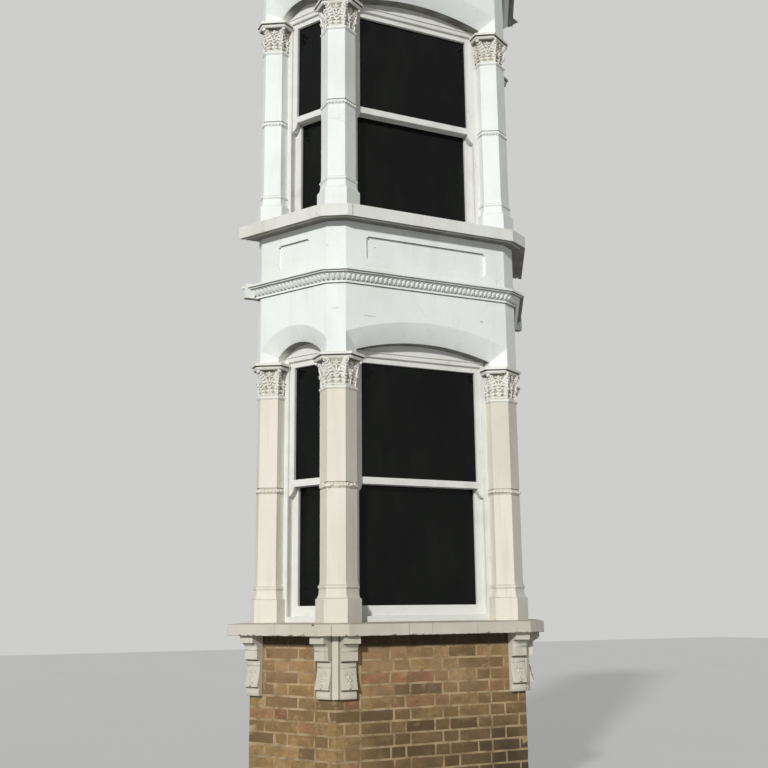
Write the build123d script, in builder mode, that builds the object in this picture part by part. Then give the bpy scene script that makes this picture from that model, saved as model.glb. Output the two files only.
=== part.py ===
"""A two-storey canted bay: brick base, stone sills, hexagonal piers, segmental arches and sash windows."""
import os
from dataclasses import dataclass
from math import atan2, cos, degrees, radians, sin, sqrt, tan

from build123d import *

os.makedirs("parts", exist_ok=True)

# Plan of the bay, in millimetres: X runs along the house wall, -Y towards the street, Z up.
# The origin is at ground level, midway along the bay and between the wall and the ground sill's edge.
pier_side = 131
front_width = 1242
cant_width = 585
cant_angle = 60
half_turn = cant_angle / 4

# What each course stands out from, or back from, the plan line of the pier faces
base_set_back = 20
base_wall = 215
ground_sill_reach = 120
upper_sill_reach = 98
bead_course_reach = 75
cornice_reach = 110

# Heights above the ground
base_height = 1200
ground_sill_edge = 80
upper_sill_edge = 87
sill_weathering = 8
sill_ledge = 30
band_height = 475
bead_course_height = 89
apron_height = 353
cornice_height = 110
ground_floor_level = 700
roof_pitch = 30
roof_skin = 70

# Drip groove under a sill
drip_inset = 28
drip_width = 12
drip_depth = 8

# Courses with a row of beads, as shares of their own height and reach
lower_fillet_share = 0.16
bead_bed_share = 0.54
upper_fillet_share = 0.12
lower_fillet_reach_share = 0.17
bed_top_reach_share = 0.62
upper_fillet_reach_share = 0.82

# Blocks that end the bead course on the wall
end_block_width = 69
end_block_height = 107
end_block_reach = 45

# Pier mouldings
shaft_side = 122
plinth_side = 150
plinth_height = 146
cavetto_height = 62
cavetto_top_side = 127
cavetto_steps = 3
roll_side = 135
roll_height = 28
apophyge_height = 36
mid_band_side = 128
mid_band_height = 44
neck_side = 132
neck_height = 28

# Capital
bell_foot_side = 120
bell_waist_side = 127
bell_lip_side = 146
abacus_side = 172
abacus_height = 46
abacus_chamfer = 14
abacus_corner_reach = 28
capital_height = 222
leaf_width = 44
leaf_foot = 62
leaf_curl = 17

# Arches over the windows
haunch_rise = 138
outer_arch_rise = 117
inner_spring = 42
inner_arch_rise = 80
cant_haunch_rise = 92
cant_outer_rise = 138
cant_inner_rise = 84

# Sunk panels of the apron
panel_height = 169
panel_margin = 155
panel_sink = 16
panel_notch = 22

# Box frames and sashes, measured back from the face of the piers
frame_face = 140
lining = 18
sash_thickness = 42
parting_bead = 8
inner_lining = 15
lining_lap = 35
channel_lap = 22
sash_play = 0.3
stile_width = 52
meeting_rail = 46
bottom_rail = 67
frame_sill = 38
head_lap = 12
horn_drop = 62
horn_toe = 17
horn_hollow = 9
pane_thickness = 4
head_bead = 9
head_bead_rise = 34

# Floors and ceiling
board = 25
joist_depth = 150
joist_width = 50
joist_pitch = 400
plaster = 15
upper_joist_depth = 200
ceiling_joist_depth = 100
ceiling_clearance = 70

# Brackets under the ground sill
bracket_width = 108
bracket_set_in = 18
wall_bracket_offset = 7  # centre of a wall bracket beyond the end of the cant's width
bracket_height = 380
bracket_cap_reach = 105
bracket_cap_height = 47
bracket_cap_lip = 12
bracket_block_reach = 58
bracket_block_top = 88
bracket_block_foot = 150
bracket_groove_reach = 28
bracket_scroll_top = 163
bracket_scroll_foot = 322
bracket_scroll_hollow = 9
bracket_toe_reach = 30
bracket_toe_top = 332
bracket_toe_swell = 8
bracket_strip = 39
bracket_strip_reach = 22


@dataclass
class Storey:
    """Heights of one storey, all above its own sill top."""

    name: str
    sill_top: float
    neck: float
    glass_head: float
    meeting_foot: float

    @property
    def springing(self):
        """Level of the top of the capitals above the ground."""
        return self.sill_top + self.neck + capital_height

    @property
    def band_top(self):
        """Level of the top of the arch band above the ground."""
        return self.springing + band_height


ground = Storey("ground", base_height + ground_sill_edge, 1526, 1725, 897)
apron_foot = ground.band_top + bead_course_height
upper_sill_foot = apron_foot + apron_height
upper = Storey("upper", upper_sill_foot + upper_sill_edge + sill_weathering, 1380, 1577, 813)

# Derived plan sizes
slope = tan(radians(half_turn))
pier_depth = pier_side * sqrt(3)
splay_run = shaft_side * cos(radians(30))
splay_depth = pier_side - shaft_side / 2
front_depth = pier_side + cant_width * sin(radians(cant_angle))
channel_face = frame_face + lining
channel_depth = 2 * sash_thickness + parting_bead
frame_back = channel_face + channel_depth + inner_lining
wall_line = (front_depth + ground_sill_reach) / 2
wall_plane = Plane.XZ.offset(-wall_line)


def outline(out, pointed=True):
    """Corners of the bay's plan, moved out by a distance, from the left end at the wall to the right."""
    half = front_width / 2 + out * slope
    facet = pier_side + 2 * out * slope
    cant = cant_width + 2 * out * slope
    corner = Vector(half, wall_line - front_depth - out)
    side = corner + Vector(facet * cos(radians(30)), facet * sin(radians(30)))
    along = Vector(cos(radians(cant_angle)), sin(radians(cant_angle)))
    if pointed:
        back = [side + along * ((wall_line - side.Y) / along.Y)]
    else:
        end = side + along * cant
        back = [end, Vector(end.X, wall_line)]
    right = [corner, side, *back]
    left = [Vector(-point.X, point.Y) for point in reversed(right)]
    return [(point.X, point.Y) for point in left + right]


def base_outline(out):
    """Corners of the brick base's plan, whose front and cants meet at plain arrises."""
    left, _, _, corner, _, right = outline(out)
    arris = corner[0] + (pier_side + 2 * out * slope) / sqrt(3)
    return [left, (-arris, corner[1]), (arris, corner[1]), right]


def course(foot, height, outer, inner, plan=outline):
    """A course of the walls: a band of even height between two plan outlines, open to the room."""
    with BuildPart() as band:
        with BuildSketch(Plane.XY.offset(foot)):
            Polygon(*plan(outer), align=None)
            Polygon(*plan(inner), align=None, mode=Mode.SUBTRACT)
        extrude(amount=height)
    return band.part


def tapered_course(foot, height, lower, upper_out, inner):
    """A course whose outer face leans from one outline to another."""
    with BuildPart() as band:
        with BuildSketch(Plane.XY.offset(foot)):
            Polygon(*outline(lower), align=None)
        with BuildSketch(Plane.XY.offset(foot + height)):
            Polygon(*outline(upper_out), align=None)
        loft(ruled=True)
        with BuildSketch(Plane.XY.offset(foot)):
            Polygon(*outline(inner), align=None)
        extrude(amount=height, mode=Mode.SUBTRACT)
    return band.part


def save(part, name):
    """Label a finished piece and write it."""
    part.label = name
    export_step(part, f"parts/{name}.step")


# The faces of the bay that hold windows: plane at the middle of the face, X along it, Y up
class Face:
    """One windowed face of the bay, with its own plane and its arch sizes."""

    def __init__(self, name, turn, width, haunch, outer_rise, inner_rise):
        self.name = name
        self.width = width
        self.haunch = haunch
        self.outer_rise = outer_rise
        self.inner_rise = inner_rise
        self.half_opening = width / 2 - splay_run
        normal = Vector(sin(radians(turn)), -cos(radians(turn)))
        along = Vector(-normal.Y, normal.X)
        if turn == 0:
            middle = Vector(0, wall_line - front_depth)
        else:
            points = outline(0, pointed=False)
            first, last = (points[1], points[2]) if turn < 0 else (points[5], points[6])
            middle = Vector((first[0] + last[0]) / 2, (first[1] + last[1]) / 2)
        self.plane = Plane(origin=middle, x_dir=along, z_dir=normal)

    def at(self, depth, level=0):
        """The face's plane, moved back into the wall and up."""
        plane = self.plane.offset(-depth)
        plane.origin += Vector(0, 0, level)
        return plane


faces = [
    Face("left", -cant_angle, cant_width, cant_haunch_rise, cant_outer_rise, cant_inner_rise),
    Face("front", 0, front_width, haunch_rise, outer_arch_rise, inner_arch_rise),
    Face("right", cant_angle, cant_width, cant_haunch_rise, cant_outer_rise, cant_inner_rise),
]


def arch_outline(half, foot, spring, rise):
    """Closed outline with a flat foot, upright sides and a segmental head."""
    with BuildLine() as line:
        Polyline((-half, spring), (-half, foot), (half, foot), (half, spring))
        ThreePointArc((half, spring), (0, spring + rise), (-half, spring))
    return line.line


# Brick base
save(course(0, base_height, -base_set_back, -base_set_back - base_wall, base_outline), "brick_base")


def sill(foot, edge, reach):
    """A sill course with a weathered top, a level bed for the piers and a drip groove."""
    with BuildPart() as slab:
        with BuildSketch(Plane.XY.offset(foot)):
            Polygon(*outline(reach), align=None)
        extrude(amount=edge - sill_weathering)
        with BuildSketch(Plane.XY.offset(foot + edge - sill_weathering)):
            Polygon(*outline(reach), align=None)
        with BuildSketch(Plane.XY.offset(foot + edge)):
            Polygon(*outline(sill_ledge), align=None)
        loft(ruled=True)
        with BuildSketch(Plane.XY.offset(foot)):
            Polygon(*outline(-pier_depth), align=None)
        extrude(amount=edge, mode=Mode.SUBTRACT)
        with BuildSketch(Plane.XY.offset(foot)):
            Polygon(*outline(reach - drip_inset), align=None)
            Polygon(*outline(reach - drip_inset - drip_width), align=None, mode=Mode.SUBTRACT)
        extrude(amount=drip_depth, mode=Mode.SUBTRACT)
    return slab.part


save(sill(base_height, ground_sill_edge, ground_sill_reach), "ground_sill")
save(sill(upper_sill_foot, upper_sill_edge + sill_weathering, upper_sill_reach), "upper_sill")


def pier_places():
    """Centre of each hexagonal pier in plan and the way its outer face looks, by name."""
    points = outline(0, pointed=False)
    corner_x = (points[5][0] + points[4][0]) / 2 - pier_depth / 2 * sin(radians(30))
    corner_y = (points[5][1] + points[4][1]) / 2 + pier_depth / 2 * cos(radians(30))
    wall_x = points[6][0] - pier_depth / 2
    return {
        "left_wall": (-wall_x, wall_line, -cant_angle / 2),
        "left_corner": (-corner_x, corner_y, -cant_angle / 2),
        "right_corner": (corner_x, corner_y, cant_angle / 2),
        "right_wall": (wall_x, wall_line, cant_angle / 2),
    }


def hexagon(side):
    """A hexagon with a corner towards the street."""
    RegularPolygon(radius=side, side_count=6, rotation=30)


def tapered(base, height, low_side, high_side):
    """An upright block of six sides that changes width from its foot to its top."""
    lean = atan2((low_side - high_side) * cos(radians(30)), height)
    with BuildPart() as block:
        with BuildSketch(base):
            hexagon(low_side)
        extrude(amount=height, taper=degrees(lean))
    return block.part


def stack(base, *steps):
    """Blocks of six sides on top of each other; each step gives its height and its two widths."""
    with BuildPart() as tower:
        level = 0
        for height, low_side, high_side in steps:
            add(tapered(base.offset(level), height, low_side, high_side))
            level += height
    return tower.part


def roll(height, side):
    """Steps of a rounded roll of six sides."""
    third = height / 3
    return (third, side - third, side), (third, side, side), (third, side, side - third)


def cavetto(height, low_side, high_side):
    """Steps of a hollow curve that leaves its foot level and meets its top upright."""
    turns = [radians(90 * k / cavetto_steps) for k in range(cavetto_steps + 1)]
    sides = [high_side + (low_side - high_side) * (1 - sin(turn)) for turn in turns]
    levels = [height * (1 - cos(turn)) for turn in turns]
    return [
        (levels[k + 1] - levels[k], sides[k], sides[k + 1])
        for k in range(cavetto_steps)
    ]


def window_recesses(storey):
    """The room that the box frames take between the piers, where pier mouldings stop."""
    with BuildPart() as recess:
        for face in faces:
            with BuildSketch(face.at(frame_face, storey.sill_top)):
                Rectangle(2 * face.half_opening, storey.neck + capital_height,
                          align=(Align.CENTER, Align.MIN))
            extrude(amount=-pier_depth)
    return recess.part


def pier(storey, x, y):
    """A hexagonal pier from the sill to its neck, halved where it stands against the wall."""
    foot = Plane(origin=(x, y, storey.sill_top))
    foot_height = plinth_height + cavetto_height + roll_height
    half_shaft = (storey.neck - neck_height - foot_height - mid_band_height) / 2
    with BuildPart() as post:
        add(stack(
            foot,
            (plinth_height, plinth_side, plinth_side),
            *cavetto(cavetto_height, plinth_side, cavetto_top_side),
            *roll(roll_height, roll_side),
            *cavetto(apophyge_height, cavetto_top_side, shaft_side),
            (half_shaft - apophyge_height, shaft_side, shaft_side),
            *roll(mid_band_height, mid_band_side),
            (half_shaft, shaft_side, shaft_side),
            *roll(neck_height, neck_side),
        ))
        add(window_recesses(storey), mode=Mode.SUBTRACT)
        if y == wall_line:
            split(bisect_by=wall_plane, keep=Keep.TOP)
    return post.part


def leaf(foot, turn):
    """A leaf that climbs the bell at one of its corners and curls out under the abacus."""
    outward = Vector(sin(radians(turn)), -cos(radians(turn)))
    top = capital_height - abacus_height
    reach = bell_lip_side + leaf_curl
    waist = (bell_waist_side + leaf_curl / 2, (leaf_foot + top) / 2)
    swell = (reach - leaf_curl / 2, waist[1] + leaf_curl)
    tip = (reach, top - leaf_curl)
    with BuildPart() as blade:
        with BuildSketch(Plane(origin=foot.origin, x_dir=outward, z_dir=(outward.Y, -outward.X))):
            Polygon((0, leaf_foot), (bell_foot_side, leaf_foot), waist, swell, tip, (reach, top),
                    (0, top), align=None)
        extrude(amount=leaf_width / 2, both=True)
    return blade.part


def capital(storey, x, y, turn):
    """A bell with a leaf at each corner under a chamfered abacus, dressed back on its outer face."""
    foot = Plane(origin=(x, y, storey.sill_top + storey.neck))
    bell_height = capital_height - abacus_height
    outward = Vector(sin(radians(turn)), -cos(radians(turn)))
    corner_face = shaft_side * cos(radians(30)) + abacus_corner_reach
    with BuildPart() as cap:
        add(stack(
            foot,
            (bell_height / 2, bell_foot_side, bell_waist_side),
            (bell_height / 2, bell_waist_side, bell_lip_side),
            (abacus_chamfer, abacus_side - abacus_chamfer, abacus_side),
            (abacus_height - abacus_chamfer, abacus_side, abacus_side),
        ))
        for corner in range(6):
            add(leaf(foot, 60 * corner))
        add(window_recesses(storey), mode=Mode.SUBTRACT)
        if y == wall_line:
            split(bisect_by=wall_plane, keep=Keep.TOP)
        else:
            dressed = Plane(origin=foot.origin + outward * corner_face, z_dir=outward)
            split(bisect_by=dressed, keep=Keep.BOTTOM)
    return cap.part


for storey in (ground, upper):
    for name, (x, y, turn) in pier_places().items():
        save(pier(storey, x, y), f"{storey.name}_{name}_pier")
        save(capital(storey, x, y, turn), f"{storey.name}_{name}_capital")


def arch_band(storey):
    """The band over one storey's windows, with a splayed segmental arch cut through each face."""
    foot = storey.springing
    with BuildPart() as band:
        with BuildSketch(Plane.XY.offset(foot)):
            Polygon(*outline(0, pointed=False), align=None)
            Polygon(*outline(-pier_depth), align=None, mode=Mode.SUBTRACT)
        extrude(amount=band_height)
        for face in faces:
            with BuildSketch(face.at(0)):
                make_face(arch_outline(face.width / 2, foot, foot + face.haunch, face.outer_rise))
            with BuildSketch(face.at(splay_depth)):
                make_face(arch_outline(face.half_opening, foot, foot + inner_spring, face.inner_rise))
            loft(ruled=True, mode=Mode.SUBTRACT)
            with BuildSketch(face.at(splay_depth)):
                make_face(arch_outline(face.half_opening, foot, foot + inner_spring, face.inner_rise))
            extrude(amount=-pier_depth, mode=Mode.SUBTRACT)
    return band.part


save(arch_band(ground), "ground_arches")
save(arch_band(upper), "upper_arches")

def beaded_course(foot, height, reach):
    """Round the bay, from the foot up: a fillet, a leaning bed for the beads and two more fillets."""
    bed_foot = foot + lower_fillet_share * height
    bed_top = bed_foot + bead_bed_share * height
    lip_foot = bed_top + upper_fillet_share * height
    with BuildPart() as moulding:
        add(course(foot, bed_foot - foot, lower_fillet_reach_share * reach, -pier_depth))
        add(tapered_course(bed_foot, bed_top - bed_foot, 0, bed_top_reach_share * reach, -pier_depth))
        add(course(bed_top, lip_foot - bed_top, upper_fillet_reach_share * reach, -pier_depth))
        add(course(lip_foot, foot + height - lip_foot, reach, -pier_depth))
    return moulding.part


def end_blocks(foot):
    """The plain blocks that the ends of the bead course die into, flat on the wall."""
    with BuildPart() as blocks:
        with BuildSketch(Plane.XY.offset(foot)):
            for side in (-1, 1):
                with Locations((side * (outline(0, pointed=False)[6][0] + bead_course_reach), wall_line)):
                    Rectangle(end_block_width, end_block_reach, align=(Align.CENTER, Align.MAX))
        extrude(amount=end_block_height)
    return blocks.part


# Bead course over the ground storey, and the cornice like it over the upper one
with BuildPart() as bead_course:
    add(beaded_course(ground.band_top, bead_course_height, bead_course_reach))
    add(end_blocks(ground.band_top))
save(bead_course.part, "bead_course")
save(beaded_course(upper.band_top, cornice_height, cornice_reach), "cornice")


def notched_panel(width, height, notch):
    """A rectangle whose four corners are cut in by small squares."""
    Rectangle(width, height)
    with Locations(*[(x * width / 2, y * height / 2) for x in (-1, 1) for y in (-1, 1)]):
        Rectangle(notch, notch, mode=Mode.SUBTRACT)


# Apron between the storeys, with one sunk panel on each face
with BuildPart() as apron:
    with BuildSketch(Plane.XY.offset(apron_foot)):
        Polygon(*outline(0, pointed=False), align=None)
        Polygon(*outline(-pier_depth), align=None, mode=Mode.SUBTRACT)
    extrude(amount=apron_height)
    for face in faces:
        with BuildSketch(face.at(0, apron_foot + apron_height / 2)):
            notched_panel(face.width - 2 * panel_margin, panel_height, panel_notch)
        extrude(amount=-panel_sink, mode=Mode.SUBTRACT)
save(apron.part, "panelled_apron")


def window_frame(storey, face):
    """A box frame with linings, a channel for the sashes, a parting bead and a sill."""
    half = face.half_opening
    foot = storey.sill_top
    head = foot + storey.glass_head + stile_width - head_lap
    with BuildPart() as frame:
        with BuildSketch(face.at(frame_back)):
            make_face(arch_outline(half, foot, storey.springing + inner_spring, face.inner_rise))
        extrude(amount=frame_back - frame_face)
        for start, depth, lap, top in (
            (frame_face, frame_back - frame_face, lining_lap, head),
            (channel_face, channel_depth, channel_lap, head + head_lap),
        ):
            with BuildSketch(face.at(start)):
                with Locations((0, (foot + frame_sill + top) / 2)):
                    Rectangle(2 * (half - lap), top - foot - frame_sill)
            extrude(amount=-depth, mode=Mode.SUBTRACT)
        bead_level = head + head_bead_rise
        with BuildSketch(face.at(frame_face)):
            with Locations((0, bead_level)):
                Rectangle(2 * half, head_bead)
            head_outline = arch_outline(half, foot, storey.springing + inner_spring, face.inner_rise)
            make_face(head_outline, mode=Mode.INTERSECT)
        extrude(amount=head_bead)
    return frame.part


def sash(face, front, foot, head, lower_rail, upper_rail, horns):
    """One sliding sash, with horns below its stiles where it is the upper one."""
    half = face.half_opening - channel_lap - sash_play
    with BuildPart() as leaf:
        with BuildSketch(face.at(front)):
            with Locations((0, (foot + head) / 2)):
                Rectangle(2 * half, head - foot)
            with Locations((0, (foot + lower_rail + head - upper_rail) / 2)):
                Rectangle(2 * (half - stile_width), head - foot - lower_rail - upper_rail, mode=Mode.SUBTRACT)
            if horns:
                for side in (-1, 1):
                    with BuildLine():
                        outer = side * half
                        inner = side * (half - stile_width)
                        Line((inner, foot), (outer, foot))
                        Line((outer, foot), (outer, foot - horn_drop))
                        toe = (outer - side * horn_toe, foot - horn_drop)
                        Line((outer, foot - horn_drop), toe)
                        SagittaArc(toe, (inner, foot), side * horn_hollow)
                    make_face()
        extrude(amount=-sash_thickness)
    return leaf.part


def pane(face, front, foot, head):
    """The sheet of glass in one sash."""
    half = face.half_opening - channel_lap - sash_play - stile_width
    with BuildPart() as sheet:
        with BuildSketch(face.at(front + sash_thickness / 2)):
            with Locations((0, (foot + head) / 2)):
                Rectangle(2 * half, head - foot)
        extrude(amount=-pane_thickness)
    return sheet.part


for storey in (ground, upper):
    panes = []
    for face in faces:
        save(window_frame(storey, face), f"{storey.name}_{face.name}_frame")
        meeting = storey.sill_top + storey.meeting_foot
        glass_head = storey.sill_top + storey.glass_head
        upper_front = channel_face
        lower_front = channel_face + sash_thickness + parting_bead
        lower_foot = storey.sill_top + frame_sill
        upper_leaf = sash(face, upper_front, meeting, glass_head + stile_width - sash_play,
                          meeting_rail, stile_width - sash_play, horns=True)
        lower_leaf = sash(face, lower_front, lower_foot, meeting + meeting_rail,
                          bottom_rail, meeting_rail, horns=False)
        save(Compound(children=[upper_leaf, lower_leaf]), f"{storey.name}_{face.name}_sashes")
        panes.append(pane(face, upper_front, meeting + meeting_rail, glass_head))
        panes.append(pane(face, lower_front, lower_foot + bottom_rail, meeting))
    save(Compound(children=panes), f"{storey.name}_glass")


def floor(top, room, joist, ceiling):
    """Boards on joists that run out from the wall, with a plaster ceiling under them where there is one."""
    with BuildPart() as deck:
        with BuildSketch(Plane.XY.offset(top - board)):
            Polygon(*room, align=None)
        extrude(amount=board)
        with BuildSketch(Plane.XY.offset(top - board - joist)):
            with GridLocations(joist_pitch, 0, 3, 1):
                with Locations((0, wall_line - front_depth / 2)):
                    Rectangle(joist_width, front_depth)
            Polygon(*room, align=None, mode=Mode.INTERSECT)
        extrude(amount=joist)
        if ceiling:
            with BuildSketch(Plane.XY.offset(top - board - joist - ceiling)):
                Polygon(*room, align=None)
            extrude(amount=ceiling)
    return deck.part


upper_floor_level = ground.springing + inner_spring + inner_arch_rise + ceiling_clearance
upper_floor_level += plaster + upper_joist_depth + board
ceiling_level = upper.springing + inner_spring + inner_arch_rise + ceiling_clearance
ceiling_level += plaster + ceiling_joist_depth + board
save(floor(ground_floor_level, base_outline(-base_set_back - base_wall), joist_depth, 0), "ground_floor")
save(floor(upper_floor_level, outline(-pier_depth), upper_joist_depth, plaster), "upper_floor")
save(floor(ceiling_level, outline(-pier_depth), ceiling_joist_depth, plaster), "upper_ceiling")


def hipped_block(foot, reach, height):
    """A block over the bay's plan whose top falls to every side but the wall."""
    with BuildPart() as block:
        with BuildSketch(Plane.XY.offset(foot)):
            Polygon(*outline(reach), align=None)
        extrude(amount=height)
        points = outline(reach)
        for start, end in zip(points, points[1:]):
            along = Vector(end[0] - start[0], end[1] - start[1]).normalized()
            outward = Vector(along.Y, -along.X)
            tilt = outward * sin(radians(roof_pitch)) + Vector(0, 0, cos(radians(roof_pitch)))
            split(bisect_by=Plane(origin=(*start, foot), z_dir=tilt), keep=Keep.BOTTOM)
    return block.part


# Hipped roof, a skin over an empty space
roof_foot = upper.band_top + cornice_height
roof_height = (front_depth + cornice_reach) * tan(radians(roof_pitch)) + roof_skin
with BuildPart() as roof:
    add(hipped_block(roof_foot, cornice_reach, roof_height))
    add(hipped_block(roof_foot, cornice_reach - roof_skin / sin(radians(roof_pitch)), roof_height),
        mode=Mode.SUBTRACT)
save(roof.part, "roof")


def bracket_outline():
    """Side view of a console: reach from the brick face across, height below the sill up."""
    cap_foot = (bracket_cap_reach - bracket_cap_lip, -bracket_cap_height)
    block_head = (bracket_block_reach, -bracket_block_top)
    scroll_head = (bracket_groove_reach, -bracket_scroll_top)
    scroll_foot = (bracket_block_reach, -bracket_scroll_foot)
    toe_head = (bracket_toe_reach, -bracket_toe_top)
    toe_foot = (bracket_toe_reach, -bracket_height)
    with BuildLine() as side:
        Polyline((0, 0), (bracket_cap_reach, 0), (bracket_cap_reach, -bracket_cap_height), cap_foot)
        SagittaArc(cap_foot, block_head, -bracket_cap_lip)
        Polyline(block_head, (bracket_block_reach, -bracket_block_foot), scroll_head)
        SagittaArc(scroll_head, scroll_foot, -bracket_scroll_hollow)
        Line(scroll_foot, toe_head)
        SagittaArc(toe_head, toe_foot, bracket_toe_swell)
        Polyline(toe_foot, (0, -bracket_height), (0, 0))
    return side.line


def bracket(face, place):
    """One console bracket, standing out from the face of the brick base."""
    bed = face.at(base_set_back, base_height)
    bed.origin += face.plane.x_dir * place
    with BuildPart() as console:
        with BuildSketch(Plane(origin=bed.origin, x_dir=face.plane.z_dir, z_dir=-face.plane.x_dir)):
            make_face(bracket_outline())
        extrude(amount=bracket_width / 2, both=True)
    return console.part


def corner_strip(side):
    """The upright strip that covers the arris between the two brackets of a corner."""
    arris = base_outline(-base_set_back)[1 if side < 0 else 2]
    outward = Vector(side * sin(radians(30)), -cos(radians(30)))
    facet = Plane(origin=(*arris, base_height), x_dir=(-outward.Y, outward.X), z_dir=outward)
    with BuildPart() as strip:
        with BuildSketch(facet.offset(bracket_strip_reach)):
            Rectangle(bracket_strip, bracket_height, align=(Align.CENTER, Align.MAX))
        extrude(amount=-2 * bracket_strip_reach)
        with BuildSketch(Plane.XY):
            Polygon(*base_outline(-base_set_back), align=None)
        extrude(amount=base_height, mode=Mode.SUBTRACT)
    return strip.part


def beside_arris(width):
    """Place along a face, from its middle, of the bracket beside the base's arris."""
    facet = pier_side - 2 * base_set_back * slope
    return width / 2 - base_set_back * slope + facet / sqrt(3) - bracket_set_in - bracket_width / 2


face_by_name = {face.name: face for face in faces}
for side, name in ((-1, "left"), (1, "right")):
    with BuildPart() as pair:
        add(bracket(face_by_name["front"], side * beside_arris(front_width)))
        add(bracket(face_by_name[name], -side * beside_arris(cant_width)))
        add(corner_strip(side))
    save(pair.part, f"{name}_corner_brackets")
    save(bracket(face_by_name[name], side * (cant_width / 2 + wall_bracket_offset)), f"{name}_wall_bracket")
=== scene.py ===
"""Dresses a two-storey canted bay window: painted masonry, brick, slate, timber and glass."""
import logging
import math
import random
from dataclasses import dataclass, field
from enum import Enum
from functools import cache, cached_property
from typing import Sequence, Union

import bmesh
import bpy
from mathutils import Matrix, Vector


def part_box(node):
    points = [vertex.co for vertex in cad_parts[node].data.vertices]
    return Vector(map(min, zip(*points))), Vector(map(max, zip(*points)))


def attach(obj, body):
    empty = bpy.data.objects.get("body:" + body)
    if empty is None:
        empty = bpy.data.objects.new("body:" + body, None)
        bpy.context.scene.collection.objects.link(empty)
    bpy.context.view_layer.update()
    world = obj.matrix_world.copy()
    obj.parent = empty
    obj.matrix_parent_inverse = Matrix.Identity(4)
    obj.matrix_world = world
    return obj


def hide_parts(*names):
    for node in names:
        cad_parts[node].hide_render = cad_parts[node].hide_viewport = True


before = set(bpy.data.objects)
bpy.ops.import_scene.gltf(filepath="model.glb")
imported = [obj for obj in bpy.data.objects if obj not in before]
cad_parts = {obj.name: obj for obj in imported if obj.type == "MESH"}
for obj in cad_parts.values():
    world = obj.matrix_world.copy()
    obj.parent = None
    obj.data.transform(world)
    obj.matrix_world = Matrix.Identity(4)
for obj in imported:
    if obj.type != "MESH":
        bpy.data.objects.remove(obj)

log = logging.getLogger("bay")
Colour = tuple[float, float, float, float]
Point = tuple[float, float, float]
BODY = "root"
IN_SHARE = math.cos(math.radians(30))  # Half a hexagon's width across its sides, for a side of 1.
UP = Vector((0, 0, 1))


class Slot(Enum):
    """Names of the record's material slots, kept on the new pieces."""

    BRICK = "brick"
    CREAM_STONE = "cream_stone"
    PAINTED_STONE = "painted_stone"
    SLATE = "slate"


def srgb(red: float, green: float, blue: float) -> Colour:
    """Turn a colour as a screen shows it into the linear values that a shader takes.

    Args:
        red: Red, from 0 to 255.
        green: Green, from 0 to 255.
        blue: Blue, from 0 to 255.

    Returns:
        The linear colour with an alpha of 1.
    """
    parts = [value / 255 for value in (red, green, blue)]
    linear = [part / 12.92 if part <= 0.04045 else ((part + 0.055) / 1.055) ** 2.4 for part in parts]
    return (*linear, 1.0)


class Signal:
    """One output of a shader node, which takes part in Python's arithmetic."""

    def __init__(self, nodes: "Nodes", socket: bpy.types.NodeSocket) -> None:
        """Keep the output and the tree that it belongs to."""
        self.nodes = nodes
        self.socket = socket

    def math(self, operation: str, *values: "Value") -> "Signal":
        """Feed this output, and other values after it, through one Math node."""
        return self.nodes.math(operation, self, *values)

    def __add__(self, other: "Value") -> "Signal":
        """Add a value."""
        return self.math("ADD", other)

    def __radd__(self, other: "Value") -> "Signal":
        """Add this to a value."""
        return self.nodes.math("ADD", other, self)

    def __sub__(self, other: "Value") -> "Signal":
        """Take a value away."""
        return self.math("SUBTRACT", other)

    def __rsub__(self, other: "Value") -> "Signal":
        """Take this away from a value."""
        return self.nodes.math("SUBTRACT", other, self)

    def __mul__(self, other: "Value") -> "Signal":
        """Multiply by a value."""
        return self.math("MULTIPLY", other)

    def __rmul__(self, other: "Value") -> "Signal":
        """Multiply a value by this."""
        return self.nodes.math("MULTIPLY", other, self)

    def __truediv__(self, other: "Value") -> "Signal":
        """Divide by a value."""
        return self.math("DIVIDE", other)

    def __abs__(self) -> "Signal":
        """Drop the sign."""
        return self.math("ABSOLUTE")

    def either(self, other: "Value") -> "Signal":
        """Take the larger of the two at each point."""
        return self.math("MAXIMUM", other)

    def rise(self, low: float, high: float) -> "Signal":
        """Ease from 0 at one value to 1 at another.

        Args:
            low: Value that gives 0.
            high: Value that gives 1, which may be the smaller of the two.

        Returns:
            The eased mask.
        """
        return self.nodes.node(
            "ShaderNodeMapRange", {"interpolation_type": "SMOOTHSTEP", "clamp": True},
            {"Value": self, "From Min": low, "From Max": high})


Value = Union[Signal, float]


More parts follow.
